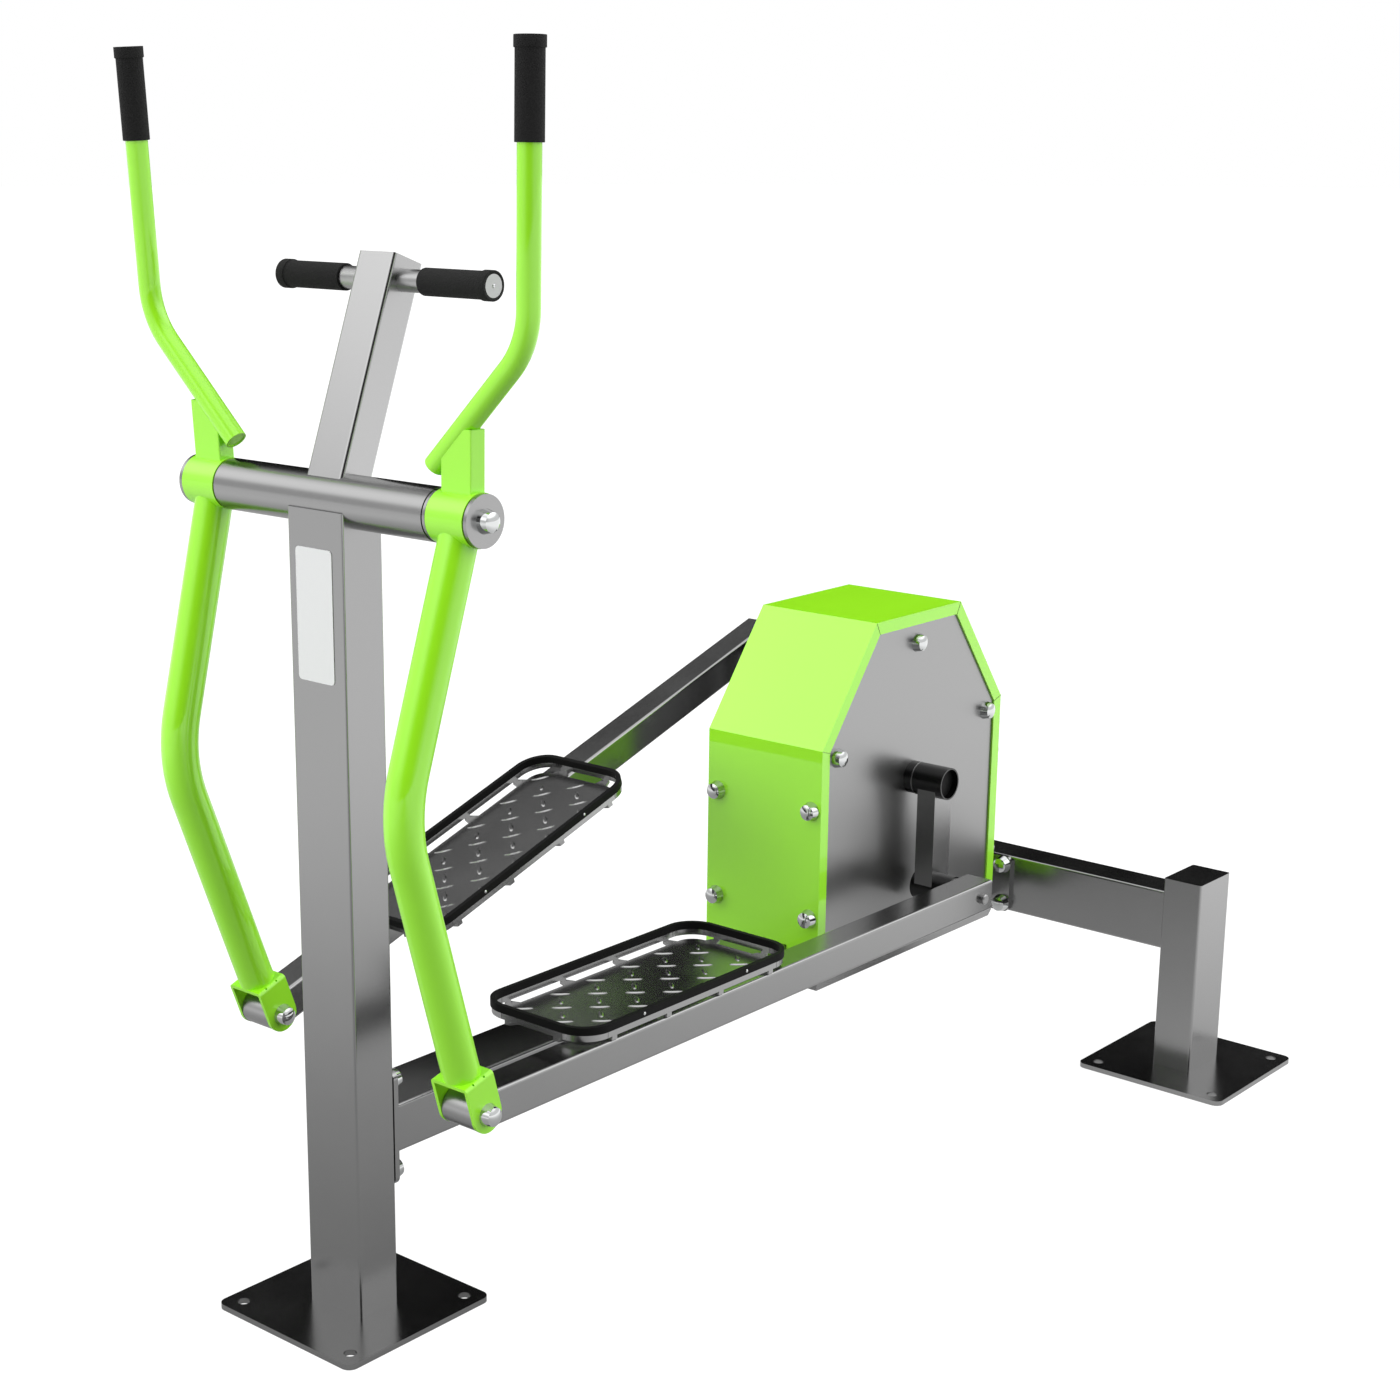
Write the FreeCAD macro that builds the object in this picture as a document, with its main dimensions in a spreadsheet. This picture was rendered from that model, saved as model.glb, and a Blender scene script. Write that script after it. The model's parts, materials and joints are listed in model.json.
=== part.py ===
"""Outdoor cross trainer: two swinging levers, two foot trays on pedal arms, and a crank in a housing.

Frame of the part: X runs from the front post to the crank, +Y is the user's right, Z is up.
The origin is the centre of the front base plate on the ground. All lengths are millimetres.
"""
import FreeCAD, Part
import os
import re
import math
import Sketcher
from FreeCAD import Vector

doc = FreeCAD.newDocument("cross_trainer")
sheet = doc.addObject("Spreadsheet::Sheet", "dims")

SIZES = {
    # How far a cutting shape runs past the faces it cuts
    "over": 1.0,
    # Ground plates
    "plate_thick": 8.0,
    "plate_corner": 14.0,
    "hole_spacing": 214.0,
    "hole_edge": 26.0,
    "hole_radius": 9.0,
    # Frame tube: one section serves the post, both beams and the rear posts
    "tube_wide": 102.0,
    "tube_deep": 69.0,
    "tube_wall": 4.0,
    "tube_corner": 4.0,
    # Front post and cross tube
    "pivot_height": 1117.0,
    "saddle_drop": 10.0,
    "cross_radius": 34.0,
    "cross_wall": 5.0,
    "cross_half": 190.0,
    # Lever pivot
    "shaft_radius": 15.0,
    "plug_long": 25.0,
    "spacer_radius": 33.0,
    "spacer_thick": 6.5,
    "collar_neck": 29.0,
    "collar_step": 1.0,
    "disc_radius": 33.0,
    "disc_thick": 6.0,
    "hub_radius": 34.0,
    "hub_wide": 62.0,
    "bush_radius": 19.0,
    # Running clearances
    "side_gap": 0.5,
    "shaft_gap": 0.05,
    "crank_gap": 1.0,
    "bolt_gap": 0.5,
    "notch_gap": 0.5,
    # Domed nuts and bolt heads
    "dome_radius": 14.5,
    "dome_base": 8.0,
    "dome_cap": 10.5,
    "dome_step": 0.6,
    "stud_radius": 6.0,
    # Leaning upper post and fixed handlebar
    "upper_deep": 52.0,
    "upper_wide": 66.0,
    "upper_wall": 3.0,
    "upper_corner": 5.0,
    "upper_long": 313.5,
    "upper_lean": 20.0,
    "bar_along": 285.0,
    "bar_radius": 14.5,
    "bar_wall": 2.5,
    "bar_half": 189.0,
    "bar_cap_thick": 3.0,
    # Foam grips, the same on the bar and on the levers
    "grip_radius": 17.5,
    "grip_long": 117.0,
    "collar_radius": 19.0,
    "collar_long": 14.0,
    "grip_end": 7.0,
    # Main beam, its two flanges and the rear beam
    "beam_height": 261.5,
    "rear_x": 1549.0,
    "flange_thick": 8.0,
    "front_flange_tall": 165.0,
    "front_flange_corner": 12.0,
    "front_bolt_side": 34.0,
    "front_bolt_up": 65.0,
    "rear_flange_wide": 190.0,
    "rear_flange_tall": 102.0,
    "rear_flange_corner": 10.0,
    "rear_bolt_side": 80.0,
    "rear_bolt_up": 36.0,
    "rear_half": 434.0,
    "rear_post_top": 342.0,
    # Housing
    "house_half": 257.0,
    "house_top_half": 120.0,
    "house_shoulder_up": 92.5,
    "house_top_up": 275.5,
    "house_half_wide": 113.0,
    "house_strip": 20.0,
    "sheet_thick": 3.0,
    "panel_gap": 0.5,
    "rail_drop": 28.5,
    "rail_tall": 26.0,
    "rail_chamfer": 9.0,
    "side_bolt_in": 43.5,
    "side_bolt_down": 19.0,
    "top_bolt_down": 50.0,
    "face_bolt_in": 19.0,
    "face_bolt_low": 91.0,
    "face_bolt_high": 269.0,
    # Crank, axle and flywheel
    "axle_x": 1163.0,
    "axle_radius": 17.5,
    "crank_radius": 180.0,
    "panel_hole": 22.0,
    "sleeve_long": 13.5,
    "sleeve_bore": 19.0,
    "crank_hub_radius": 26.5,
    "crank_hub_long": 58.0,
    "crank_recess": 15.0,
    "crank_plug_thick": 4.0,
    "crank_rim": 2.5,
    "crank_arm_wide": 48.0,
    "crank_arm_thick": 34.0,
    "crank_arm_in": 12.5,
    "boss_radius": 25.0,
    "boss_in": 4.5,
    "boss_bore_deep": 40.0,
    "washer_thick": 3.0,
    "washer_radius": 23.0,
    "seam_thick": 2.0,
    "seam_high": 0.8,
    "bearing_radius": 36.0,
    "bearing_wide": 17.0,
    "support_side": 40.0,
    "support_thick": 12.0,
    "support_wide": 120.0,
    "wheel_radius": 205.0,
    "wheel_wide": 24.0,
    "wheel_rim": 35.0,
    "wheel_web": 8.0,
    "wheel_hub": 45.0,
    # Levers
    "lever_length": 761.5,
    "lever_radius": 25.0,
    "lever_wall": 3.0,
    "bend_forward": 116.4,
    "bend_down": 354.7,
    "bend_radius": 200.0,
    "riser_wide": 50.5,
    "riser_deep": 25.0,
    "riser_wall": 3.0,
    "riser_corner": 2.0,
    "riser_up": 108.0,
    "handle_out": 105.6,
    "handle_in": 46.5,
    "handle_low": 58.5,
    "handle_bend": 100.0,
    "handle_top": 555.0,
    "handle_lean": 0.93,
    "handle_climb": 45.0,
    "handle_rim": 1.0,
    # Fork at the foot of each lever
    "fork_wide": 64.0,
    "fork_deep": 50.0,
    "fork_plate": 5.0,
    "fork_rise": 53.0,
    "fork_fold": 5.0,
    "relief_radius": 1.6,
    "relief_step": 10.0,
    "pin_radius": 8.0,
    # Pedal arms
    "arm_side": 50.0,
    "arm_wall": 3.0,
    "arm_corner": 4.0,
    "arm_start": 8.0,
    "arm_tail": 29.0,
    "arm_bush": 24.5,
    "arm_pin": 8.2,
    "arm_pin_out": 8.0,
    "arm_pin_edge": 1.5,
    # Foot trays
    "tray_middle": 426.0,
    "tray_long": 460.0,
    "tray_wide": 200.0,
    "tray_corner": 44.0,
    "tray_slot": 16.0,
    "floor_thick": 4.0,
    "wall_thick": 3.0,
    "wall_low": 31.0,
    "wall_top": 48.5,
    "tab_wide": 10.0,
    "tab_foot": 22.0,
    "tab_end": 45.0,
    "tray_shift": 20.0,
    "strip_groove": 0.8,
    "strip_deep": 1.0,
    "trim_out": 2.0,
    "trim_low": 40.5,
    "trim_top": 51.5,
}

for row, (alias, number) in enumerate(SIZES.items(), 1):
    sheet.set("A%d" % row, alias)
    sheet.set("B%d" % row, str(number))
    sheet.setAlias("B%d" % row, alias)
doc.recompute()


def bound(text):
    """Write an expression on sizes as an expression on the sheet's cells."""
    def prefixed(word):
        return "dims." + word.group() if word.group() in SIZES else word.group()

    return re.sub(r"[a-z_]+", prefixed, text)


def size(alias):
    return float(sheet.get(alias))


# Places that follow from the sizes above
PLATE_SIDE = "(hole_spacing + 2*hole_edge)"
HUB_Y = "(cross_half + spacer_thick + side_gap)"
LEVER_Y = "(%s + hub_wide/2)" % HUB_Y
DISC_Y = "(%s + hub_wide + side_gap)" % HUB_Y
CAP_Y = "(%s + disc_thick)" % DISC_Y
DISC_MIDDLE = "(%s - (disc_thick - collar_step)/2)" % CAP_Y
AXLE_Z = "(pivot_height - lever_length + crank_radius)"
BEAM_TOP = "(beam_height + tube_deep/2)"
BEAM_FRONT = "(tube_deep/2 + flange_thick)"
BEAM_REAR = "(rear_x - tube_deep/2 - flange_thick)"
RAIL_LOW = "(beam_height - rail_drop)"
RAIL_TOP = "(beam_height - rail_drop + rail_tall)"
PANEL_Y = "(house_half_wide - sheet_thick)"
CRANK_Y = "(%s + sleeve_long + crank_gap)" % PANEL_Y
BOSS_END = "(%s - arm_side/2 - crank_gap - washer_thick)" % LEVER_Y
HANDLE_Y = "(%s + handle_out)" % LEVER_Y
HANDLE_LOW_Y = "(%s - handle_in)" % LEVER_Y
TRAY_Y = "(%s + arm_side/2 - tray_wide/2)" % LEVER_Y
FORK_TILT = "atan2(-bend_forward; lever_length - bend_down)"

# Pose of the right side: its crank points up, so the lever and the arm close the triangle to the crank pin
DROP = "(lever_length - 2*crank_radius)"
REACH = "sqrt(axle_x^2 + %s^2)" % DROP
REACH_ANGLE = "acos((lever_length^2 + %s^2)/(2*lever_length*%s))" % (DROP, REACH)
RIGHT_LEAN = "(90 deg - atan2(%s; axle_x) - %s)" % (DROP, REACH_ANGLE)
RIGHT_PIN_X = "(lever_length*sin(%s))" % RIGHT_LEAN
RIGHT_PIN_Z = "(pivot_height - lever_length*cos(%s))" % RIGHT_LEAN
RIGHT_TILT = "asin((%s + crank_radius - %s)/axle_x)" % (AXLE_Z, RIGHT_PIN_Z)

AXES = {"X": "1;0;0", "Y": "0;1;0", "Z": "0;0;1"}
WAYS = {"X": Vector(1, 0, 0), "Y": Vector(0, 1, 0), "Z": Vector(0, 0, 1)}


def add(kind, **links):
    item = doc.addObject(kind, kind.split("::")[1].lower())
    for name, value in links.items():
        setattr(item, name, value)
    return item


def set_sizes(item, **sizes):
    for name, text in sizes.items():
        item.setExpression(name, bound(text))
    return item


def put(item, x="0", y="0", z="0", axis="Z", turn="0"):
    """Place an object; its place and turn stay tied to the sheet."""
    place = "placement(vector(%s; %s; %s); rotation(vector(%s); %s))" % (x, y, z, AXES[axis], turn)
    item.setExpression("Placement", bound(place))
    return item


def block(sides, middle):
    item = set_sizes(add("Part::Box"), Length=sides[0], Width=sides[1], Height=sides[2])
    return put(item, *["(%s) - (%s)/2" % (m, s) for m, s in zip(middle, sides)])


def rod(radius, length, middle, axis):
    """A cylinder along an axis, given by the middle of its length."""
    item = set_sizes(add("Part::Cylinder"), Radius=radius, Height=length)
    x, y, z = middle
    if axis == "X":
        return put(item, "(%s) - (%s)/2" % (x, length), y, z, "Y", "90")
    if axis == "Y":
        return put(item, x, "(%s) + (%s)/2" % (y, length), z, "X", "90")
    return put(item, x, y, "(%s) - (%s)/2" % (z, length))


def cut(base, *tools):
    tool = tools[0] if len(tools) == 1 else add("Part::MultiFuse", Shapes=list(tools))
    return add("Part::Cut", Base=base, Tool=tool)


def fuse(*items):
    return add("Part::MultiFuse", Shapes=list(items))


def group(*items):
    return add("Part::Compound", Links=list(items))


def ring(outer, inner, length, middle, axis):
    longer = "(%s) + 2*over" % length
    return cut(rod(outer, length, middle, axis), rod(inner, longer, middle, axis))


def edges_along(box, axis, wanted):
    """Numbers of a shape's edges that run along an axis and lie on the wanted side of its middle."""
    box.recompute(True)
    found = []
    for number, edge in enumerate(box.Shape.Edges, 1):
        along = edge.tangentAt(edge.FirstParameter)
        if abs(along.dot(WAYS[axis])) > 0.5 and wanted(edge.CenterOfMass - box.Shape.CenterOfMass):
            found.append(number)
    return found


def rounded(box, axis, radius, wanted=lambda place: True):
    """Round the edges of a box that run along an axis."""
    item = add("Part::Fillet", Base=box)
    item.Edges = [(edge, radius, radius) for edge in edges_along(box, axis, wanted)]
    return item


def chamfered(box, axis, depth, wanted):
    item = add("Part::Chamfer", Base=box)
    item.Edges = [(edge, depth, depth) for edge in edges_along(box, axis, wanted)]
    return item


def box_tube(sides, middle, axis, wall, corner):
    """A rectangular tube, open at both ends."""
    outer = rounded(block(sides, middle), axis, size(corner))
    along = "XYZ".index(axis)
    inner = ["(%s) - 2*%s" % (side, wall) for side in sides]
    inner[along] = "(%s) + 2*over" % sides[along]
    return cut(outer, block(inner, middle))


def mirrored(item):
    """The same piece on the user's left."""
    return add("Part::Mirroring", Source=item, Normal=Vector(0, 1, 0), Base=Vector(0, 0, 0))


def both(item):
    return group(item, mirrored(item))


nodes = []


def node(item, label):
    item.Label = label
    nodes.append(item)
    return item


# Domed nut: one cylinder and one cap serve every nut, each nut is a fuse of the two in its own place
DOME_BALL = "(((dome_radius - dome_step)^2 + dome_cap^2)/(2*dome_cap))"
dome_foot = set_sizes(add("Part::Cylinder"), Radius="dome_radius", Height="dome_base")
dome_cap = set_sizes(add("Part::Sphere"), Radius=DOME_BALL, Angle1="asin(1 - dome_cap/%s)" % DOME_BALL)
put(dome_cap, "0", "0", "dome_base + dome_cap - %s" % DOME_BALL)
DOME_TURN = {"+X": ("Y", "90"), "-X": ("Y", "-90"), "+Y": ("X", "-90"), "-Y": ("X", "90")}


def dome(x, y, z, way):
    return put(add("Part::Fuse", Base=dome_foot, Tool=dome_cap), x, y, z, *DOME_TURN[way])


# The sketcher's numbers for the origin and for the two ends of a line
ORIGIN = -1
HEAD = 1
TAIL = 2


def bent_path(start, corner, end, radius, middle, axis, turn, guess):
    """A sketch of two straight runs joined by an arc; its points and radius are tied to the sheet."""
    path = add("Sketcher::SketchObject")
    place = "placement(vector(%s); rotation(vector(%s); %s))" % (middle, axis, turn)
    path.setExpression("Placement", bound(place))
    first, bend, last = [Vector(*point) for point in guess]
    into = (bend - first).normalize()
    out = (last - bend).normalize()
    half_turn = into.getAngle(out) / 2
    tangent = size(radius) * math.tan(half_turn)
    rise = bend - into * tangent
    leave = bend + out * tangent
    inward = (out - into).normalize()
    crown = bend + inward * (size(radius) / math.cos(half_turn) - size(radius))
    run_in = path.addGeometry(Part.LineSegment(first, rise))
    arc = path.addGeometry(Part.Arc(rise, crown, leave))
    run_out = path.addGeometry(Part.LineSegment(leave, last))
    point = path.addGeometry(Part.Point(bend))
    path.setConstruction(point, True)
    arc_ends = [HEAD, TAIL]
    if path.getPoint(arc, HEAD).distanceToPoint(rise) > path.getPoint(arc, TAIL).distanceToPoint(rise):
        arc_ends.reverse()
    path.addConstraint(Sketcher.Constraint("Tangent", run_in, TAIL, arc, arc_ends[0]))
    path.addConstraint(Sketcher.Constraint("Tangent", arc, arc_ends[-1], run_out, HEAD))
    path.addConstraint(Sketcher.Constraint("PointOnObject", point, HEAD, run_in))
    path.addConstraint(Sketcher.Constraint("PointOnObject", point, HEAD, run_out))
    held = [("start", run_in, HEAD, start, first), ("corner", point, HEAD, corner, bend)]
    held.append(("end", run_out, TAIL, end, last))
    for name, line, end_of, place, at in held:
        for way, text, number in (("X", place[0], at.x), ("Y", place[1], at.y)):
            tied = Sketcher.Constraint("Distance" + way, ORIGIN, HEAD, line, end_of, number)
            rule = path.addConstraint(tied)
            path.renameConstraint(rule, name + way)
            path.setExpression("Constraints." + name + way, bound(text))
    rule = path.addConstraint(Sketcher.Constraint("Radius", arc, size(radius)))
    path.renameConstraint(rule, "bend")
    path.setExpression("Constraints.bend", bound(radius))
    return path


def bent_tube(path, radius, place, axis, turn):
    """Sweep a round section along a bent path."""
    section = set_sizes(add("Part::Circle"), Radius=radius)
    put(section, place[0], place[1], place[2], axis, turn)
    return add("Part::Sweep", Sections=[section], Spine=(path, ["Edge1", "Edge2", "Edge3"]), Solid=True)


# Ground plates
def base_plate(x, y):
    sheet_block = block((PLATE_SIDE, PLATE_SIDE, "plate_thick"), (x, y, "plate_thick/2"))
    plate = rounded(sheet_block, "Z", size("plate_corner"))
    holes = []
    for way_x in ("+", "-"):
        for way_y in ("+", "-"):
            at = ("%s %s hole_spacing/2" % (x, way_x), "%s %s hole_spacing/2" % (y, way_y), "plate_thick/2")
            holes.append(rod("hole_radius", "plate_thick + 2*over", at, "Z"))
    return cut(plate, *holes)


node(base_plate("0", "0"), "front_base_plate")
node(both(base_plate("rear_x", "rear_half")), "rear_base_plates")

# Front post, saddled under the cross tube and drilled for the flange studs
FLANGE_BOLTS = []
for way_y in ("+", "-"):
    for way_z in ("+", "-"):
        FLANGE_BOLTS.append(("%sfront_bolt_side" % way_y, "beam_height %s front_bolt_up" % way_z))

post_tall = "(pivot_height - saddle_drop - plate_thick)"
post_middle = ("0", "0", "plate_thick + %s/2" % post_tall)
post = box_tube(("tube_deep", "tube_wide", post_tall), post_middle, "Z", "tube_wall", "tube_corner")
saddle = rod("cross_radius", "tube_wide + 2*over", ("0", "0", "pivot_height"), "Y")
stud_holes = []
for y, z in FLANGE_BOLTS:
    stud_holes.append(rod("stud_radius + bolt_gap", "4*tube_wall", ("tube_deep/2", y, z), "X"))
node(cut(post, saddle, *stud_holes), "front_post")

# Cross tube and the pivot inside it
pivot = ("0", "0", "pivot_height")
node(ring("cross_radius", "cross_radius - cross_wall", "2*cross_half", pivot, "Y"), "cross_tube")
plug_at = ("0", "cross_half - plug_long/2", "pivot_height")
node(both(ring("cross_radius - cross_wall", "shaft_radius", "plug_long", plug_at, "Y")), "pivot_plugs")
node(rod("shaft_radius", "2*%s" % CAP_Y, pivot, "Y"), "pivot_shaft")
spacer_at = ("0", "cross_half + spacer_thick/2", "pivot_height")
spacer = fuse(
    ring("spacer_radius", "shaft_radius", "spacer_thick - 2*collar_step", spacer_at, "Y"),
    ring("collar_neck", "shaft_radius", "spacer_thick", spacer_at, "Y"),
)
node(both(spacer), "pivot_spacers")
disc_at = ("0", DISC_MIDDLE, "pivot_height")
neck_at = ("0", "%s + disc_thick/2" % DISC_Y, "pivot_height")
end_disc = fuse(
    ring("disc_radius", "shaft_radius", "disc_thick - collar_step", disc_at, "Y"),
    ring("collar_neck", "shaft_radius", "disc_thick", neck_at, "Y"),
)
node(both(end_disc), "pivot_end_discs")
node(both(dome("0", CAP_Y, "pivot_height", "+Y")), "pivot_caps")

# Leaning upper post with its fixed handlebar, built upright about the pivot and then leaned back
upper_block = block(("upper_deep", "upper_wide", "upper_long"), ("0", "0", "upper_long/2"))
upper = rounded(upper_block, "Z", size("upper_corner"))
upper_inside = block(
    ("upper_deep - 2*upper_wall", "upper_wide - 2*upper_wall", "upper_long"),
    ("0", "0", "upper_long/2 - upper_wall"),
)
upper_cope = rod("cross_radius", "upper_wide + 2*over", ("0", "0", "0"), "Y")
bar_hole = rod("bar_radius", "upper_wide + 2*over", ("0", "0", "bar_along"), "Y")


def leaned(item, label):
    put(item, "0", "0", "pivot_height", "Y", "upper_lean")
    return node(item, label)


leaned(cut(upper, upper_inside, upper_cope, bar_hole), "upper_post")
bar_at = ("0", "0", "bar_along")
bar_long = "2*(bar_half - bar_cap_thick)"
leaned(ring("bar_radius", "bar_radius - bar_wall", bar_long, bar_at, "Y"), "fixed_bar")
bar_grip = fuse(
    rod("grip_radius", "grip_long", ("0", "bar_half - grip_long/2", "bar_along"), "Y"),
    rod("collar_radius", "collar_long", ("0", "bar_half - collar_long/2", "bar_along"), "Y"),
)
bar_core = rod("bar_radius", "grip_long + 2*over", ("0", "bar_half - grip_long/2", "bar_along"), "Y")
leaned(both(cut(bar_grip, bar_core)), "fixed_bar_grips")
bar_cap = rod("bar_radius", "bar_cap_thick", ("0", "bar_half - bar_cap_thick/2", "bar_along"), "Y")
leaned(both(bar_cap), "fixed_bar_end_caps")

# Main beam between its two flanges
beam_long = "(%s - %s)" % (BEAM_REAR, BEAM_FRONT)
beam_middle = ("(%s + %s)/2" % (BEAM_REAR, BEAM_FRONT), "0", "beam_height")
beam_sides = (beam_long, "tube_wide", "tube_deep")
node(box_tube(beam_sides, beam_middle, "X", "tube_wall", "tube_corner"), "main_beam")

front_face_x = "(tube_deep/2 + flange_thick/2)"
front_plate = block(("flange_thick", "tube_wide", "front_flange_tall"), (front_face_x, "0", "beam_height"))
front_holes = []
front_nuts = []
for y, z in FLANGE_BOLTS:
    front_holes.append(rod("stud_radius + bolt_gap", "flange_thick + 2*over", (front_face_x, y, z), "X"))
    stud_x = "tube_deep/2 + (flange_thick - tube_wall)/2"
    stud = rod("stud_radius", "flange_thick + tube_wall", (stud_x, y, z), "X")
    front_nuts.append(fuse(stud, dome(BEAM_FRONT, y, z, "+X")))
node(cut(rounded(front_plate, "X", size("front_flange_corner")), *front_holes), "front_flange")
node(group(*front_nuts), "front_flange_nuts")

rear_face_x = "(rear_x - tube_deep/2 - flange_thick/2)"
rear_sides = ("flange_thick", "rear_flange_wide", "rear_flange_tall")
rear_plate = block(rear_sides, (rear_face_x, "0", "beam_height"))
rear_holes = []
rear_bolts = []
beam_holes = []
for way_y in ("+", "-"):
    for way_z in ("+", "-"):
        y = "%srear_bolt_side" % way_y
        z = "beam_height %s rear_bolt_up" % way_z
        rear_holes.append(rod("stud_radius + bolt_gap", "flange_thick + 2*over", (rear_face_x, y, z), "X"))
        beam_holes.append(rod("stud_radius + bolt_gap", "4*tube_wall", ("rear_x - tube_deep/2", y, z), "X"))
        shank_x = "rear_x - tube_deep/2 - (flange_thick - tube_wall)/2"
        shank = rod("stud_radius", "flange_thick + tube_wall", (shank_x, y, z), "X")
        rear_bolts.append(fuse(shank, dome(BEAM_REAR, y, z, "-X")))
node(cut(rounded(rear_plate, "X", size("rear_flange_corner")), *rear_holes), "rear_flange")
node(group(*rear_bolts), "rear_flange_bolts")

# Rear beam and the two rear posts with closed tops
rear_long = "(2*rear_half - tube_deep)"
rear_middle = ("rear_x", "0", "beam_height")
rear_tube = box_tube(("tube_deep", rear_long, "tube_wide"), rear_middle, "Y", "tube_wall", "tube_corner")
node(cut(rear_tube, *beam_holes), "rear_beam")
stub_tall = "(rear_post_top - plate_thick)"
stub_middle = ("rear_x", "rear_half", "plate_thick + %s/2" % stub_tall)
stub = rounded(block(("tube_wide", "tube_deep", stub_tall), stub_middle), "Z", size("tube_corner"))
stub_inside = block(
    ("tube_wide - 2*tube_wall", "tube_deep - 2*tube_wall", stub_tall),
    ("rear_x", "rear_half", "plate_thick + %s/2 - tube_wall" % stub_tall),
)
node(both(cut(stub, stub_inside)), "rear_posts")

# Housing: a six-sided outline, drawn once for each inset
HOUSE_TURN = "atan2(house_half - house_top_half; house_top_up - house_shoulder_up)"


def house_outline(inset, low):
    """Outline of the housing seen from the side, moved inwards by an inset, with its foot at a height."""
    half = "(house_half - %s)" % inset
    top_half = "(house_top_half - %s*tan((90 deg - %s)/2))" % (inset, HOUSE_TURN)
    shoulder = "(%s + house_shoulder_up - %s*tan(%s/2))" % (AXLE_Z, inset, HOUSE_TURN)
    top = "(%s + house_top_up - %s)" % (AXLE_Z, inset)
    corners = [("-" + half, low), ("-" + half, shoulder), ("-" + top_half, top)]
    corners += [(top_half, top), (half, shoulder), (half, low)]
    outline = add("Sketcher::SketchObject")
    put(outline, "axle_x", "0", "0", "X", "90")
    axle_up = size("pivot_height") - size("lever_length") + size("crank_radius")
    wide = size("house_half")
    flat = size("house_top_half")
    levels = (size("beam_height"), axle_up + size("house_shoulder_up"), axle_up + size("house_top_up"))
    guess = [(-wide, levels[0]), (-wide, levels[1]), (-flat, levels[-1])]
    guess += [(-x, z) for x, z in reversed(guess)]
    lines = []
    for first, second in zip(guess, guess[1:] + guess[:1]):
        lines.append(outline.addGeometry(Part.LineSegment(Vector(*first, 0), Vector(*second, 0))))
    for line, after in zip(lines, lines[1:] + lines[:1]):
        outline.addConstraint(Sketcher.Constraint("Coincident", line, TAIL, after, HEAD))
    for line, corner, start in zip(lines, corners, guess):
        for way, text, number in zip("XY", corner, start):
            held = Sketcher.Constraint("Distance" + way, ORIGIN, HEAD, line, HEAD, number)
            rule = outline.addConstraint(held)
            name = "corner%d%s" % (line, way)
            outline.renameConstraint(rule, name)
            outline.setExpression("Constraints." + name, bound(text))
    return outline


def house_slab(inset, low, thick):
    slab = add("Part::Extrusion", Base=house_outline(inset, low), DirMode="Normal", Solid=True, Symmetric=True)
    return set_sizes(slab, LengthFwd=thick)


under = "(%s - rail_tall)" % RAIL_TOP
shell = house_slab("0", RAIL_TOP, "2*house_half_wide")
shell_inside = house_slab("sheet_thick", under, "2*%s" % PANEL_Y)
shell_window = house_slab("house_strip", under, "2*house_half_wide + 2*over")
beam_notch = block(
    ("2*house_half + 2*over", "tube_wide + 2*notch_gap", "2*(tube_deep/2 + notch_gap)"),
    ("axle_x", "0", "beam_height"),
)
node(cut(shell, shell_inside, shell_window, beam_notch), "housing_shell")

rail_wide = "(house_half_wide - tube_wide/2)"
rail = block(
    ("2*house_half", rail_wide, "rail_tall"),
    ("axle_x", "tube_wide/2 + %s/2" % rail_wide, "%s + rail_tall/2" % RAIL_LOW),
)
rail_inside = block(
    ("2*(house_half - sheet_thick)", rail_wide, "rail_tall"),
    ("axle_x", "tube_wide/2 + %s/2 - sheet_thick" % rail_wide, "%s + rail_tall/2 + sheet_thick" % RAIL_LOW),
)


def low_rear_edge(box):
    """Chamfer the lower rear edge, so that the sheet and the channel under it keep their distance."""
    return chamfered(box, "Y", size("rail_chamfer"), lambda place: place.x > 0 > place.z)


node(both(cut(low_rear_edge(rail), low_rear_edge(rail_inside))), "housing_rails")

panel = house_slab("(sheet_thick + panel_gap)", "(%s + sheet_thick)" % RAIL_LOW, "sheet_thick")
panel_hole = rod("panel_hole", "sheet_thick + 2*over", ("axle_x", "0", AXLE_Z), "Y")
side_panel = put(cut(low_rear_edge(panel), panel_hole), "0", "%s - sheet_thick/2" % PANEL_Y, "0")
node(both(side_panel), "housing_panels")

shoulder_z = "(%s + house_shoulder_up)" % AXLE_Z
top_z = "(%s + house_top_up)" % AXLE_Z
right_domes = [dome("axle_x", PANEL_Y, "%s - top_bolt_down" % top_z, "+Y")]
for way in ("+", "-"):
    side_x = "axle_x %s (house_half - side_bolt_in)" % way
    right_domes.append(dome(side_x, PANEL_Y, "%s - side_bolt_down" % shoulder_z, "+Y"))
    for up in ("face_bolt_low", "face_bolt_high"):
        face_x = "axle_x %s house_half" % way
        face_z = "%s + %s" % (RAIL_TOP, up)
        right_domes.append(dome(face_x, "house_half_wide - face_bolt_in", face_z, way + "X"))
node(both(group(*right_domes)), "housing_bolts")
sleeve_at = ("axle_x", "%s + sleeve_long/2" % PANEL_Y, AXLE_Z)
node(both(ring("crank_hub_radius", "sleeve_bore", "sleeve_long", sleeve_at, "Y")), "axle_sleeves")

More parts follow.
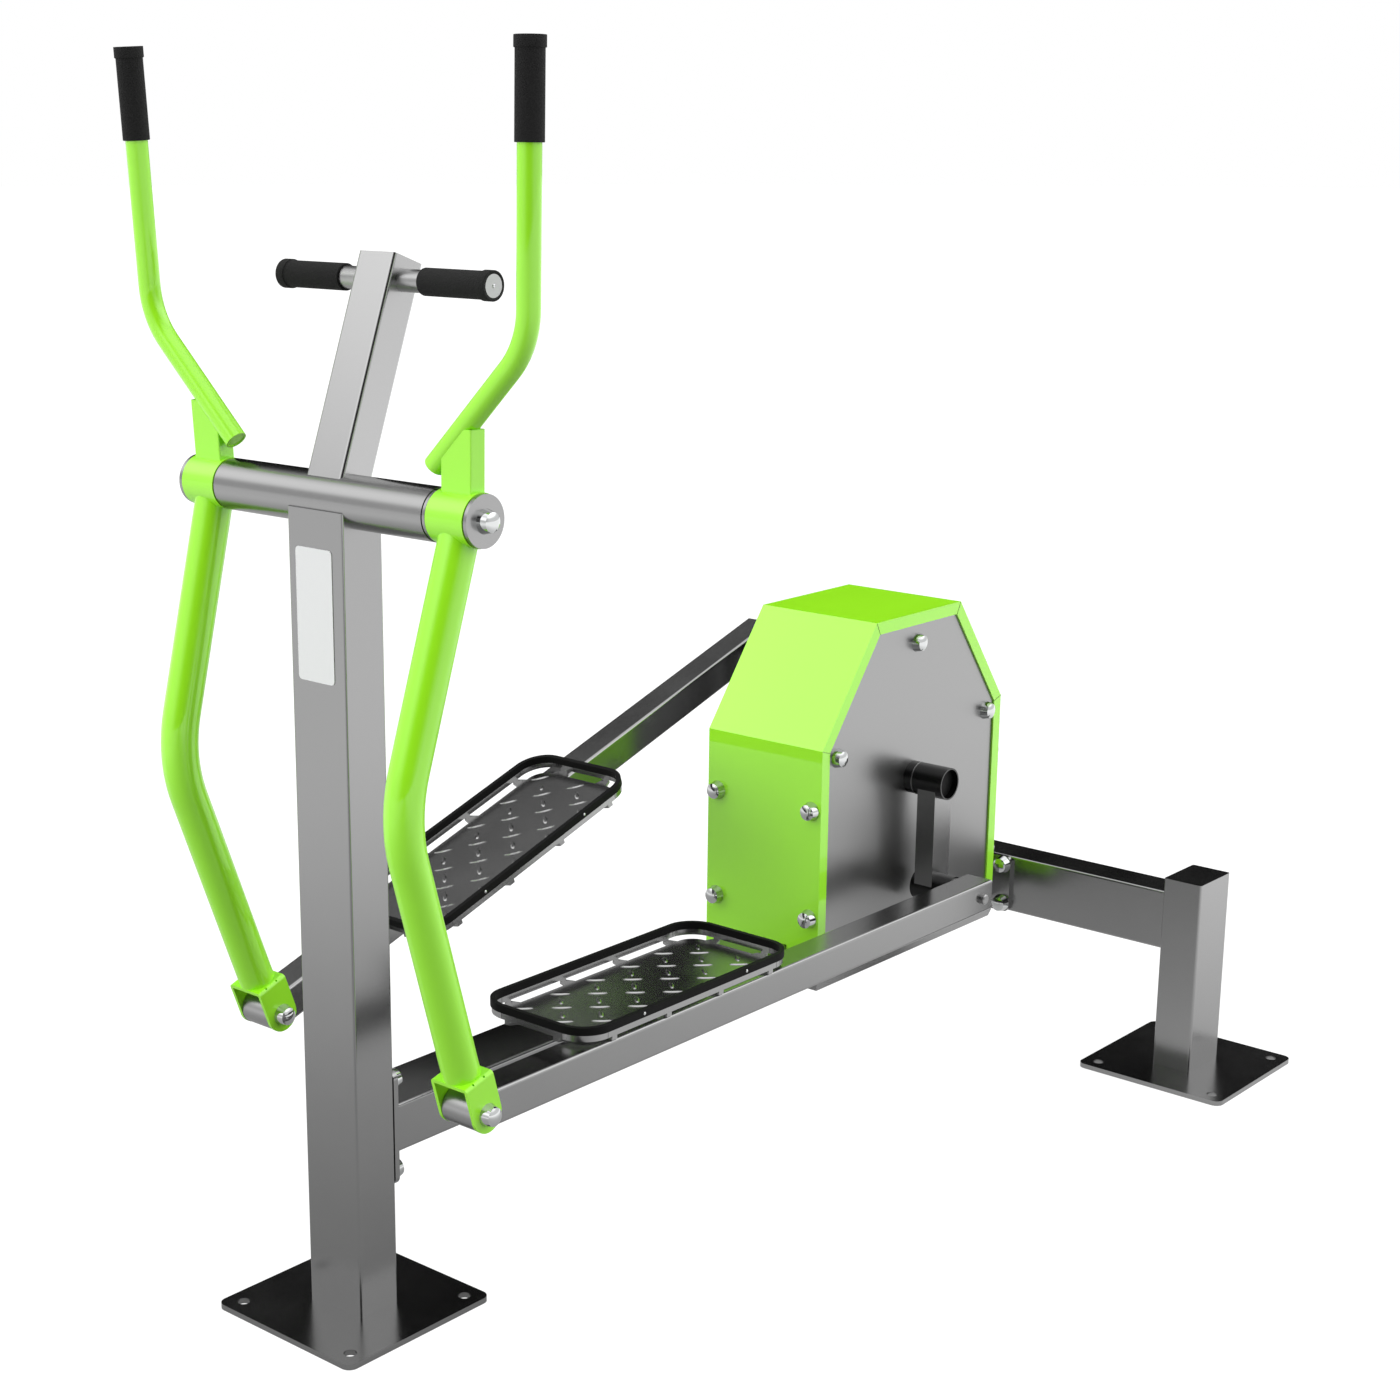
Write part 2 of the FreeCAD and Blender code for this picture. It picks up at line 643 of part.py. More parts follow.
# Bearings of the axle on two plates that stand on the main beam
support_tall = "(%s - %s)" % (AXLE_Z, BEAM_TOP)
support_at = ("axle_x", "support_side", "%s + %s/2" % (BEAM_TOP, support_tall))
bearing_at = ("axle_x", "support_side", AXLE_Z)
support = fuse(
    block(("support_wide", "support_thick", support_tall), support_at),
    rod("support_wide/2", "support_thick", bearing_at, "Y"),
)
node(both(cut(support, rod("bearing_radius", "support_thick + 2*over", bearing_at, "Y"))), "bearing_supports")
node(both(ring("bearing_radius", "axle_radius + shaft_gap", "bearing_wide", bearing_at, "Y")), "axle_bearings")

# Crank: built about the axle with its pin pointing up, the left side turned by half a turn
CRANK_PLACE = ("axle_x", "0", AXLE_Z, "Y")


def crank_pair(item, label):
    right = put(group(item), *CRANK_PLACE, "0")
    left = put(mirrored(item), *CRANK_PLACE, "180")
    return node(group(right, left), label)


axle_half = "(%s + crank_hub_long - crank_recess)" % CRANK_Y
node(rod("axle_radius", "2*%s" % axle_half, ("axle_x", "0", AXLE_Z), "Y"), "crank_axle")
wheel = fuse(
    ring("wheel_radius", "wheel_radius - wheel_rim", "wheel_wide", ("0", "0", "0"), "Y"),
    ring("wheel_radius - wheel_rim/2", "axle_radius", "wheel_web", ("0", "0", "0"), "Y"),
    ring("wheel_hub", "axle_radius", "wheel_wide", ("0", "0", "0"), "Y"),
)
node(put(wheel, *CRANK_PLACE, "0"), "flywheel")
hub_at = ("0", "%s + crank_hub_long/2" % CRANK_Y, "0")
recess_at = ("0", "%s + crank_hub_long - crank_recess/2 + over" % CRANK_Y, "0")
crank_hub = ring("crank_hub_radius", "axle_radius", "crank_hub_long", hub_at, "Y")
recess = rod("crank_hub_radius - crank_rim", "crank_recess + 2*over", recess_at, "Y")
crank_pair(cut(crank_hub, recess), "crank_hubs")
crank_plug_y = "%s + crank_hub_long - crank_recess + crank_plug_thick/2" % CRANK_Y
crank_plug_at = ("0", crank_plug_y, "0")
crank_pair(rod("crank_hub_radius - crank_rim", "crank_plug_thick", crank_plug_at, "Y"), "crank_plugs")
crank_arm = block(
    ("crank_arm_wide", "crank_arm_thick", "crank_radius"),
    ("0", "%s + crank_arm_in + crank_arm_thick/2" % CRANK_Y, "crank_radius/2"),
)
arm_over_hub = rod("crank_hub_radius", "crank_hub_long + 2*over", hub_at, "Y")
boss_long = "(%s - %s - boss_in)" % (BOSS_END, CRANK_Y)
boss_at = ("0", "%s - %s/2" % (BOSS_END, boss_long), "crank_radius")
arm_over_boss = rod("boss_radius", "%s + 2*over" % boss_long, boss_at, "Y")
crank_pair(cut(crank_arm, arm_over_hub, arm_over_boss), "crank_arms")
BOSS_BORE = "(arm_pin + shaft_gap)"
boss_hole_at = ("0", "%s - boss_bore_deep/2 + over" % BOSS_END, "crank_radius")
boss_hole = rod(BOSS_BORE, "boss_bore_deep + 2*over", boss_hole_at, "Y")
crank_pair(cut(rod("boss_radius", boss_long, boss_at, "Y"), boss_hole), "crank_pin_bosses")
washer_at = ("0", "%s + washer_thick/2" % BOSS_END, "crank_radius")
washer = ring("washer_radius", BOSS_BORE, "washer_thick", washer_at, "Y")
seam_at = ("0", "%s + seam_thick/2" % CRANK_Y, "0")
seam = ring("crank_hub_radius + seam_high", "crank_hub_radius", "seam_thick", seam_at, "Y")
crank_pair(group(washer, seam), "crank_rings")


# Levers: built about the pivot, the left one hanging straight down and the right one swung to its crank
def lever_pair(item, label, lean="0 deg"):
    right = put(group(item), "0", "0", "pivot_height", "Y", "%s - %s" % (lean, RIGHT_LEAN))
    left = put(mirrored(item), "0", "0", "pivot_height", "Y", lean)
    node(left, "lever_left_" + label)
    node(right, "lever_right_" + label)


lever_hub_at = ("0", LEVER_Y, "0")
lever_pair(ring("hub_radius", "bush_radius", "hub_wide", lever_hub_at, "Y"), "hub")
lever_pair(ring("bush_radius", "shaft_radius + shaft_gap", "hub_wide", lever_hub_at, "Y"), "bush")

foot = ("fork_rise*sin(%s)" % FORK_TILT, "-lever_length + fork_rise*cos(%s)" % FORK_TILT)
foot_tilt = math.atan2(-size("bend_forward"), size("lever_length") - size("bend_down"))
foot_guess = (
    size("fork_rise") * math.sin(foot_tilt),
    size("fork_rise") * math.cos(foot_tilt) - size("lever_length"),
    0,
)
lever_guess = ((0, 0, 0), (-size("bend_forward"), -size("bend_down"), 0), foot_guess)
lever_path = bent_path(
    ("0", "0"), ("-bend_forward", "-bend_down"), foot, "bend_radius",
    "0; %s; 0" % LEVER_Y, "1;0;0", "90", lever_guess,
)
lever_turn = "atan2(-bend_forward; -bend_down)"
lever_solid = bent_tube(lever_path, "lever_radius", ("0", LEVER_Y, "0"), "Y", lever_turn)
lever_inside = bent_tube(lever_path, "lever_radius - lever_wall", ("0", LEVER_Y, "0"), "Y", lever_turn)
hub_cope = rod("hub_radius", "hub_wide + 2*over", lever_hub_at, "Y")
lever_pair(cut(lever_solid, lever_inside, hub_cope), "tube")

# Handle: starts inboard of the riser, climbs outwards and turns upright into the grip
handle_corner_z = "(handle_low + (handle_out + handle_in)*tan(handle_climb))"
handle_guess_y = size("cross_half") + size("spacer_thick") + size("side_gap") + size("hub_wide") / 2
handle_guess_up = (size("handle_out") + size("handle_in")) * math.tan(math.radians(size("handle_climb")))
handle_guess = (
    (handle_guess_y - size("handle_in"), size("handle_low"), 0),
    (handle_guess_y + size("handle_out"), size("handle_low") + handle_guess_up, 0),
    (handle_guess_y + size("handle_out"), size("handle_top") - size("grip_end"), 0),
)
handle_path = bent_path(
    (HANDLE_LOW_Y, "handle_low"), (HANDLE_Y, handle_corner_z), (HANDLE_Y, "handle_top - grip_end"),
    "handle_bend", "0; 0; 0", "1;1;1", "120", handle_guess,
)
handle_end = ("0", HANDLE_LOW_Y, "handle_low")
handle_turn = "handle_climb - 90"
handle = bent_tube(handle_path, "bar_radius", handle_end, "X", handle_turn)
handle_inside = bent_tube(handle_path, "bar_radius - bar_wall", handle_end, "X", handle_turn)
handle_plug = set_sizes(add("Part::Cylinder"), Radius="bar_radius - bar_wall", Height="bar_wall")
plug_y = "%s + handle_rim*cos(handle_climb)" % HANDLE_LOW_Y
put(handle_plug, "0", plug_y, "handle_low + handle_rim*sin(handle_climb)", "X", handle_turn)
lever_pair(fuse(cut(handle, handle_inside), handle_plug), "handle", "handle_lean*1 deg")

# Riser: a flat tube on the hub, cut along the climbing handle that lies in it
riser_block = block(("riser_deep", "riser_wide", "riser_up"), ("0", LEVER_Y, "riser_up/2"))
riser = rounded(riser_block, "Z", size("riser_corner"))
riser_inside = block(
    ("riser_deep - 2*riser_wall", "riser_wide - 2*riser_wall", "riser_up + 2*over"),
    ("0", LEVER_Y, "riser_up/2"),
)
slope = set_sizes(add("Part::Box"), Length="2*riser_deep", Width="riser_wide", Height="4*riser_wide")
slope_y = "%s - riser_wide*sin(handle_climb)" % HANDLE_LOW_Y
slope_z = "handle_low + riser_wide*cos(handle_climb)"
put(slope, "-riser_deep", slope_y, slope_z, "X", handle_turn)
lever_pair(cut(riser, riser_inside, hub_cope, slope, handle), "riser", "handle_lean*1 deg")

grip_middle = ("0", HANDLE_Y, "handle_top - grip_long/2")
collar_middle = ("0", HANDLE_Y, "handle_top - collar_long/2")
grip = fuse(
    rod("grip_radius", "grip_long", grip_middle, "Z"),
    rod("collar_radius", "collar_long", collar_middle, "Z"),
)
grip_core = rod("bar_radius", "grip_long", ("0", HANDLE_Y, "handle_top - grip_end - grip_long/2"), "Z")
lever_pair(cut(grip, grip_core), "grip", "handle_lean*1 deg")

# Fork: a folded plate under the tube, in line with it, with round feet about the pin
fork_block = block(("fork_deep", "fork_wide", "fork_rise"), ("0", "0", "fork_rise/2"))
fork_outer = rounded(fork_block, "X", size("fork_fold"), lambda place: place.z > 0)
fork_foot = rod("fork_deep/2", "fork_wide", ("0", "0", "0"), "Y")
fork_gap = block(
    ("fork_deep + 2*over", "fork_wide - 2*fork_plate", "fork_deep/2 + fork_rise - fork_plate + over"),
    ("0", "0", "(fork_rise - fork_plate - fork_deep/2 - over)/2"),
)
fork_hole = rod("pin_radius", "fork_wide + 2*over", ("0", "0", "0"), "Y")
reliefs = []
for way_x in ("", "-"):
    for way_y in ("", "-"):
        relief_at = (way_x + "relief_step", "%s(fork_wide - fork_plate)/2" % way_y, "fork_rise")
        reliefs.append(rod("relief_radius", "2*fork_plate", relief_at, "Z"))
fork = cut(fuse(fork_outer, fork_foot), fork_gap, fork_hole, *reliefs)
lever_pair(put(fork, "0", LEVER_Y, "-lever_length", "Y", FORK_TILT), "fork")
fork_bolt = fuse(
    rod("pin_radius", "fork_wide", ("0", LEVER_Y, "-lever_length"), "Y"),
    dome("0", "%s + fork_wide/2" % LEVER_Y, "-lever_length", "+Y"),
    dome("0", "%s - fork_wide/2" % LEVER_Y, "-lever_length", "-Y"),
)
lever_pair(fork_bolt, "fork_bolt")


# Pedal arms: built about the fork pin, lying along X
def arm_pair(item, label, shift="0"):
    right = put(group(item), RIGHT_PIN_X, shift, RIGHT_PIN_Z, "Y", "0 deg - %s" % RIGHT_TILT)
    left = put(mirrored(item), "0", "0", "pivot_height - lever_length", "Y", "0")
    node(left, "arm_left_" + label)
    node(right, "arm_right_" + label)


bush_at = ("0", LEVER_Y, "0")
bush_long = "fork_wide - 2*fork_plate - 2*side_gap"
arm_pair(ring("arm_bush", "pin_radius + shaft_gap", bush_long, bush_at, "Y"), "bush")
arm_long = "(axle_x + arm_tail - arm_start)"
arm_middle = ("arm_start + %s/2" % arm_long, LEVER_Y, "0")
arm_outer = rounded(block((arm_long, "arm_side", "arm_side"), arm_middle), "X", size("arm_corner"))
arm_inside = block(
    (arm_long, "arm_side - 2*arm_wall", "arm_side - 2*arm_wall"),
    ("arm_start + %s/2 - arm_wall" % arm_long, LEVER_Y, "0"),
)
bush_cope = rod("arm_bush", "arm_side + 2*over", bush_at, "Y")
pin_hole = rod("arm_pin", "arm_side + 2*over", ("axle_x", LEVER_Y, "0"), "Y")
arm_pair(cut(arm_outer, arm_inside, bush_cope, pin_hole), "tube")
crank_pin = rod("arm_pin", "arm_side + arm_pin_out", ("axle_x", "%s + arm_pin_out/2" % LEVER_Y, "0"), "Y")
arm_pair(chamfered(crank_pin, "Z", size("arm_pin_edge"), lambda place: place.y > 0), "crank_pin")

# Foot trays: a floor, a low wall round it on small tabs, and a trim on the wall's edge
floor_low = "(arm_side/2)"
tray_at = ("tray_middle", TRAY_Y)
floor = rounded(
    block(
        ("tray_long - 2*tray_slot", "tray_wide - 2*tray_slot", "floor_thick"),
        tray_at + ("%s + floor_thick/2" % floor_low,),
    ),
    "Z", size("tray_corner") - size("tray_slot"),
)


def tray_ring(outward, inward, low, top):
    """A frame that follows the tray's outline between two offsets from its outer face."""
    middle = tray_at + ("(%s + %s)/2" % (low, top),)
    tall = "(%s - %s)" % (top, low)
    outer = block(("tray_long + 2*%s" % outward, "tray_wide + 2*%s" % outward, tall), middle)
    inner = block(("tray_long - 2*%s" % inward, "tray_wide - 2*%s" % inward, "%s + 2*over" % tall), middle)
    return outer, inner


def cut_ring(pair, outer_corner, inner_corner):
    return cut(rounded(pair[0], "Z", outer_corner), rounded(pair[1], "Z", inner_corner))


corner = size("tray_corner")
wall_ring = tray_ring("0", "wall_thick", "wall_low", "wall_top")
wall = cut_ring(wall_ring, corner, corner - size("wall_thick"))

# Tabs: each widens towards the floor and has an upright foot under the wall
stand_tall = "(wall_low - %s + over)" % floor_low


def tab(x, y, turn):
    flat = set_sizes(
        add("Part::Wedge"), Xmin="-tab_wide/2", Xmax="tab_wide/2", X2min="-tab_foot/2", X2max="tab_foot/2",
        Ymin="0", Ymax="tray_slot", Zmin="0", Zmax="floor_thick", Z2min="0", Z2max="floor_thick",
    )
    upright = block(("tab_wide", "wall_thick", stand_tall), ("0", "wall_thick/2", "%s/2" % stand_tall))
    return put(fuse(flat, upright), x, y, floor_low, "Z", turn)


tabs = []
for way, turn in (("+", "180"), ("-", "0")):
    for step in ("-3", "-1", "+1", "+3"):
        tabs.append(tab("tray_middle %s*tray_long/8" % step, "%s %s tray_wide/2" % (TRAY_Y, way), turn))
for way, turn in (("+", "90"), ("-", "-90")):
    for end in ("+", "-"):
        tabs.append(tab("tray_middle %s tray_long/2" % way, "%s %s tab_end" % (TRAY_Y, end), turn))

# Grooves where the straight strips of the wall meet its bent corners, inside and outside
grooves = []
wall_at = "(wall_low + wall_top)/2"
wall_tall = "wall_top - wall_low"
for way_x in ("+", "-"):
    for way_y in ("+", "-"):
        for inward in ("0", "wall_thick"):
            turn_x = "tray_middle %s (tray_long/2 - tray_corner)" % way_x
            side_y = "%s %s (tray_wide/2 - %s)" % (TRAY_Y, way_y, inward)
            grooves.append(block(("strip_groove", "2*strip_deep", wall_tall), (turn_x, side_y, wall_at)))
            end_x = "tray_middle %s (tray_long/2 - %s)" % (way_x, inward)
            turn_y = "%s %s (tray_wide/2 - tray_corner)" % (TRAY_Y, way_y)
            grooves.append(block(("2*strip_deep", "strip_groove", wall_tall), (end_x, turn_y, wall_at)))
arm_pair(fuse(floor, cut(wall, *grooves), *tabs), "tray", "tray_shift")

trim_ring = tray_ring("trim_out", "(wall_thick + trim_out)", "trim_low", "trim_top")
trim = cut_ring(trim_ring, corner + size("trim_out"), corner - size("wall_thick") - size("trim_out"))
arm_pair(cut(trim, wall), "trim", "tray_shift")

# Build, check every object, and write one file for each node
doc.recompute()
for item in doc.Objects:
    if "Invalid" in item.State or "Error" in item.State:
        raise RuntimeError("%s did not build" % item.Label)
os.makedirs("parts", exist_ok=True)
for item in nodes:
    if item.Shape.isNull() or not item.Shape.isValid() or not item.Shape.Solids:
        raise RuntimeError("%s has no sound shape" % item.Label)
    item.Shape.exportStep("parts/%s.step" % item.Label)
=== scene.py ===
"""Dresses the outdoor cross trainer: finishes, foam grips, chequered foot trays and a plain studio."""
import json
import math

import bmesh
import bpy
from bpy.props import FloatProperty, FloatVectorProperty, PointerProperty
from mathutils import Matrix, Vector


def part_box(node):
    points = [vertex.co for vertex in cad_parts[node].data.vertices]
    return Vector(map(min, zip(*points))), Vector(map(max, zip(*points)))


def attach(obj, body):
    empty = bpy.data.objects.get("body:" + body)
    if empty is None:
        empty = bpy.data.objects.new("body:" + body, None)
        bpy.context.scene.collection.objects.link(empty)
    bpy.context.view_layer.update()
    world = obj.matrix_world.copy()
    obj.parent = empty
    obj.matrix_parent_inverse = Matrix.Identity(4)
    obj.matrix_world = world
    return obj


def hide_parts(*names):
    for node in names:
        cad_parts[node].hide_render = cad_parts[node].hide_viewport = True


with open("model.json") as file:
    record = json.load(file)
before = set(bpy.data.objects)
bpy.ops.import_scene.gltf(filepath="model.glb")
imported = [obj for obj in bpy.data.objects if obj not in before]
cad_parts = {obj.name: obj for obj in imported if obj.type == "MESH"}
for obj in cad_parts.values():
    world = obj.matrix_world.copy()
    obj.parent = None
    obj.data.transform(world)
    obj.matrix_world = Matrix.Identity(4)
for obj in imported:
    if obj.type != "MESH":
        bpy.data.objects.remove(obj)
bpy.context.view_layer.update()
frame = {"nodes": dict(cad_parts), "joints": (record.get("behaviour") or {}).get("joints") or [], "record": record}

bl_info = {
    "name": "Outdoor cross trainer",
    "version": (1, 0, 0),
    "blender": (4, 5, 0),
    "location": "3D View > Sidebar > Trainer",
    "description": "Finishes and fittings for an outdoor cross trainer",
    "category": "Object",
}

# Hinges of the frame, and how far the right lever and arm are turned from the left ones
HINGES = {joint["name"]: Vector(joint["pos_m"]) for joint in frame["joints"]}
PIVOT = HINGES["lever_left_swing"]
AXLE = HINGES["crank_turn"]
PINS = {"left": HINGES["arm_left_tilt"], "right": HINGES["arm_right_tilt"]}
CRANK_LONG = AXLE.z - PINS["left"].z
RIGHT_LEAN = math.atan2(PINS["right"].x - PIVOT.x, PIVOT.z - PINS["right"].z)
RIGHT_TILT = math.atan2(AXLE.z + CRANK_LONG - PINS["right"].z, AXLE.x - PINS["right"].x)
LEVER_TURNS = {"left": 0.0, "right": -RIGHT_LEAN}
ARM_TURNS = {"left": 0.0, "right": -RIGHT_TILT}
HANDLE_LEAN = math.radians(0.93)
POST_LEAN = math.radians(20.0)
SIDES = {"left": -1, "right": 1}
ENDS = (-1, 1)

# Frame parts that show a finish of their own and not that of their slot
OWN_FINISH = {
    "crank_hubs": "crank_grey",
    "crank_pin_bosses": "crank_grey",
    "axle_sleeves": "crank_grey",
    # The housing's lime is the levers' lime made paler: painted light for the brighter light on the housing. Its
    # stronger coat is a real gloss
    "housing_shell": "lime_sheet_painted_light",
    # The leaning post's grey is the frame's grey made paler: a painted sheen for the brighter room that the
    # leaning post mirrors
    "upper_post": "upper_grey_painted_sheen",
}

# Values that several finishes share
FINE_SHARE = 0.35
WIDE_SHARE = 0.65
NOISE_MIDDLE = 0.5
NOISE_REACH = (0.3, 0.7)
COAT_ROUGH = 0.03
COAT_IOR = 2.0
SATIN = (0.20, 0.26)
LIME_PAINT = {"rough": (0.28, 0.36), "metallic": 0.05, "drift": 0.04, "peel": 0.000001, "gloss": 0.4}
TURNED_DRIFT = 0.15
TURNED_DEEP = 0.00003
# The foam's pores darken as painted shade, and its grain tops pale as a painted highlight
FOAM_DEEP = 0.0006
FOAM_PORE_SHADE = 0.35
FOAM_PORE_UP_TO = 0.30
FOAM_GRAIN_HIGHLIGHT = 2.6
FOAM_GRAIN_FROM = 0.95

# Spun shapes and foam sleeves
MERGE_GAP = 1e-6
SLEEVE_STEPS = 48
SLEEVE_ROUND_STEPS = 4
SLEEVE_SHARP = 0.5
LEVER_GRIP_ROUND = 0.0022
BAR_GRIP_ROUND = 0.0016

# Bars and drops of the chequer plate, with rows counted from the middle of the left tray
BUMP_CORNERS = 20
BUMP_TOP = (0.8, 0.4, 1.0)
BUMP_SLANT = math.radians(45.0)
BAR_WIDE = 0.0068
DROP_LONG = 0.0265
DROP_WIDE = 0.0075
DROP_SHIFT = -0.0193
ROW_FIRST = -0.0646
ROWS = 5
BARS = range(-3, 4)
BARS_START = {"left": -0.0255, "right": -0.0336}
BARE_END = 0.030
BARE_SIDE = 0.024

# Rivets, with places on the trays
RIVET_RADIUS = 0.0026
RIVET_FLAT = 0.6
RIVET_AROUND = 16
RIVET_RINGS = 8
RIVET_ALONG = 0.113
RIVET_OUT = 0.002
RIVET_UP = 0.046

# Cap nuts, with places on the housing and on the flanges, and the pins of the forks
NUT_STEPS = 32
NUT_CREASE = 0.4
DOME_STEPS = 5
NUT_BELOW_TOP = 0.050
NUT_BELOW_SHOULDER = 0.019
NUT_FROM_END = 0.0435
NUT_FROM_SIDE = 0.019
NUT_ROWS = (0.091, 0.269)
REAR_NUT_OUT = 0.080
REAR_NUT_UP = 0.036
FRONT_NUT_OUT = 0.034
FRONT_NUT_UP = 0.065
PIN_RADIUS = 0.008
PIN_LONG = 0.064

# Housing seams and the blank plate
SEAM_DEEP = 0.0004
SEAM_WIDE = 0.0007
PLATE_THICK = 0.0008
PLATE_ROUND = 0.006
PLATE_ROUND_STEPS = 6
PLATE_ACROSS = 0.0025
PLATE_UP = 0.9715

# Studio, and the camera with its picture in pixels
ROOM_SIDE = (0.667, -0.744, 0.0)
ROOM_LEAN = 0.1
ROOM_TO_SIDES = (0.30, 0.80)
ROOM_TO_ABOVE = (0.60, 0.92)
ROOM_LOW = (0.22, 0.45)
FLOOR_SPLIT = 0.1
FLOOR_AWAY = (0.0, 3.0)
FLOOR_FADE = (0.36, 1.45)
FLOOR_BAND = (-0.5, 0.5)
FLOOR_LEAN = (0.78, 1.0)
FLOOR_RADIUS = 60.0
FLOOR_CORNERS = 64
FLOOR_DROP = 0.0005
FLOOR_TINT = 0.18
LAMP_PLACE = (-3.6, 1.0, 1.7)
LAMP_TARGET = (0.9, 0.0, 0.5)
LAMP_SIDE = 2.5
SENSOR = 36.0
PICTURE = 1400.0
FOCAL_LENGTH = 2383.3
PICTURE_MIDDLE = (576.4, 738.1)
CAMERA_PLACE = (-2.0189, -2.2217, 1.5769)
CAMERA_YAW = math.radians(41.89)
CAMERA_PITCH = math.radians(14.49)
CAMERA_FAR = 200.0


def length(name, description, default):
    """A size in metres."""
    return FloatProperty(
        name=name, description=description, default=default, min=0.0, unit="LENGTH", precision=4
    )


def colour(name, description, default):
    """A colour of a finish."""
    return FloatVectorProperty(
        name=name, description=description, default=default, size=3, min=0.0, max=1.0, subtype="COLOR"
    )


def strength(name, description, default):
    """A share or strength of light."""
    return FloatProperty(name=name, description=description, default=default, min=0.0)


class TrainerColours(bpy.types.PropertyGroup):
    """Colours of the trainer's finishes"""

    grey: colour("Satin grey", "Metallic grey of the frame and the arms", (0.275, 0.275, 0.275))
    # Frame grey made paler as a painted sheen, for the brighter room that the leaning post mirrors
    upper: colour("Upper post grey", "Metallic grey of the leaning post", (0.36, 0.36, 0.36))
    lime: colour("Lime paint", "Gloss paint of the levers", (0.305, 0.80, 0.013))
    # Lever lime made paler as painted light, for the brighter light on the housing
    sheet: colour("Lime sheet", "Gloss paint of the housing", (0.355, 0.92, 0.015))
    tray: colour("Tray grey", "Metallic grey of the foot trays", (0.33, 0.33, 0.33))
    crank: colour("Crank grey", "Dark metallic grey of the crank", (0.06, 0.06, 0.06))
    plug: colour("Plug black", "Plugs in the crank's hubs", (0.004, 0.004, 0.004))
    chrome: colour("Chrome", "Polished nuts", (0.52, 0.53, 0.53))
    steel: colour("Turned steel", "Bushes and the fixed bar", (0.33, 0.33, 0.33))
    bronze: colour("Bronze", "Sliding bushes of the levers", (0.45, 0.30, 0.14))
    casting: colour("Casting", "Raw flywheel", (0.10, 0.10, 0.10))
    foam: colour("Foam", "Grips", (0.004, 0.004, 0.004))
    rubber: colour("Rubber", "Edge trim of the trays", (0.004, 0.004, 0.004))
    end_cap: colour("End cap", "Plugs of the fixed bar", (0.52, 0.52, 0.53))
    plate: colour("Blank plate", "Bare plate on the front post", (0.65, 0.66, 0.66))


class TrainerSizes(bpy.types.PropertyGroup):
    """Sizes of the fittings that are added to the frame"""

    bar_radius: length("Bar radius", "Tube inside the grips", 0.0145)
    grip_radius: length("Grip radius", "Foam sleeve", 0.0175)
    grip_long: length("Grip length", "Foam sleeve with its collar", 0.117)
    collar_radius: length("Collar radius", "Thick end of the foam sleeve", 0.019)
    collar_long: length("Collar length", "Thick end of the foam sleeve", 0.014)
    handle_side: length("Handle side", "Lever handle from the middle plane", 0.3336)
    handle_top: length("Handle top", "Top of the lever grip above the pivot", 0.555)
    bar_along: length("Bar along post", "Fixed bar above the pivot, along the leaning post", 0.285)
    bar_half: length("Bar half length", "Fixed bar from the middle to its end", 0.189)
    tray_middle: length("Tray middle", "Tray's middle from the fork pin, along the arm", 0.426)
    tray_side: length("Tray side", "Left tray's middle from the middle plane", 0.153)
    tray_shift: length("Tray shift", "How much further out the right tray stands", 0.020)
    tray_floor: length("Tray floor", "Upper face of the tray's floor above the fork pin", 0.029)
    tray_half: length("Tray half length", "Outer half length of the tray", 0.230)
    tray_half_wide: length("Tray half width", "Outer half width of the tray", 0.100)
    bar_pitch: length("Chequer pitch", "Distance between bars in a row", 0.076)
    row_pitch: length("Chequer rows", "Distance between rows of bars", 0.0375)
    bump_long: length("Chequer bar", "Length of one raised bar", 0.029)
    bump_high: length("Chequer height", "Height of one raised bar", 0.0014)
    top_half: length("Housing top", "Half length of the housing's flat top", 0.12)
    shoulder_up: length("Housing shoulder", "Height of the housing's shoulder above the axle", 0.0925)
    strip: length("Housing strip", "Width of the strip round each side panel", 0.02)
    nut_base: length("Nut base", "Radius of a cap nut at its foot", 0.0157)
    nut_top: length("Nut top", "Radius of a cap nut where its dome starts", 0.0125)
    nut_wall: length("Nut wall", "Height of a cap nut's tapered wall", 0.0125)
    nut_dome: length("Nut dome", "Height of a cap nut's dome", 0.0036)
    plate_wide: length("Plate width", "Blank plate on the post", 0.067)
    plate_tall: length("Plate height", "Blank plate on the post", 0.173)


class TrainerLight(bpy.types.PropertyGroup):
    """Studio light"""

    box: FloatProperty(
        name="Soft box", description="Lamp in front on the left", default=70.0, min=0.0, unit="POWER"
    )
    sides: strength("Sides", "Strength of the room to the left and right", 2.3)
    ends: strength("Ends", "Strength of the room before and behind", 0.005)
    above: strength("Above", "Strength of the room overhead", 1.8)
    low: strength("Low", "Share of the room's strength that gloss mirrors near the horizon", 0.42)
    floor: strength("Floor", "Paleness that the floor shows of its own", 0.9)


# Nodes
def fill(tree, node, inputs):
    """Set inputs of a node, by name or number, to plain values or to the sockets that feed them."""
    for key, value in inputs.items():
        if isinstance(value, bpy.types.NodeSocket):
            tree.links.new(value, node.inputs[key])
        else:
            node.inputs[key].default_value = value


def add_node(tree, kind, inputs, **settings):
    """Add a node with its settings and inputs."""
    node = tree.nodes.new(kind)
    for name, value in settings.items():
        setattr(node, name, value)
    fill(tree, node, inputs)
    return node


def add_math(tree, operation, *values):
    """Add a sum of one to three values and give its result."""
    inputs = dict(enumerate(values))
    return add_node(tree, "ShaderNodeMath", inputs, operation=operation).outputs[0]


def add_noise(tree, place, scale, detail):
    """Add a noise and give its value."""
    inputs = {"Vector": place, "Scale": scale, "Detail": detail}
    return add_node(tree, "ShaderNodeTexNoise", inputs).outputs["Fac"]


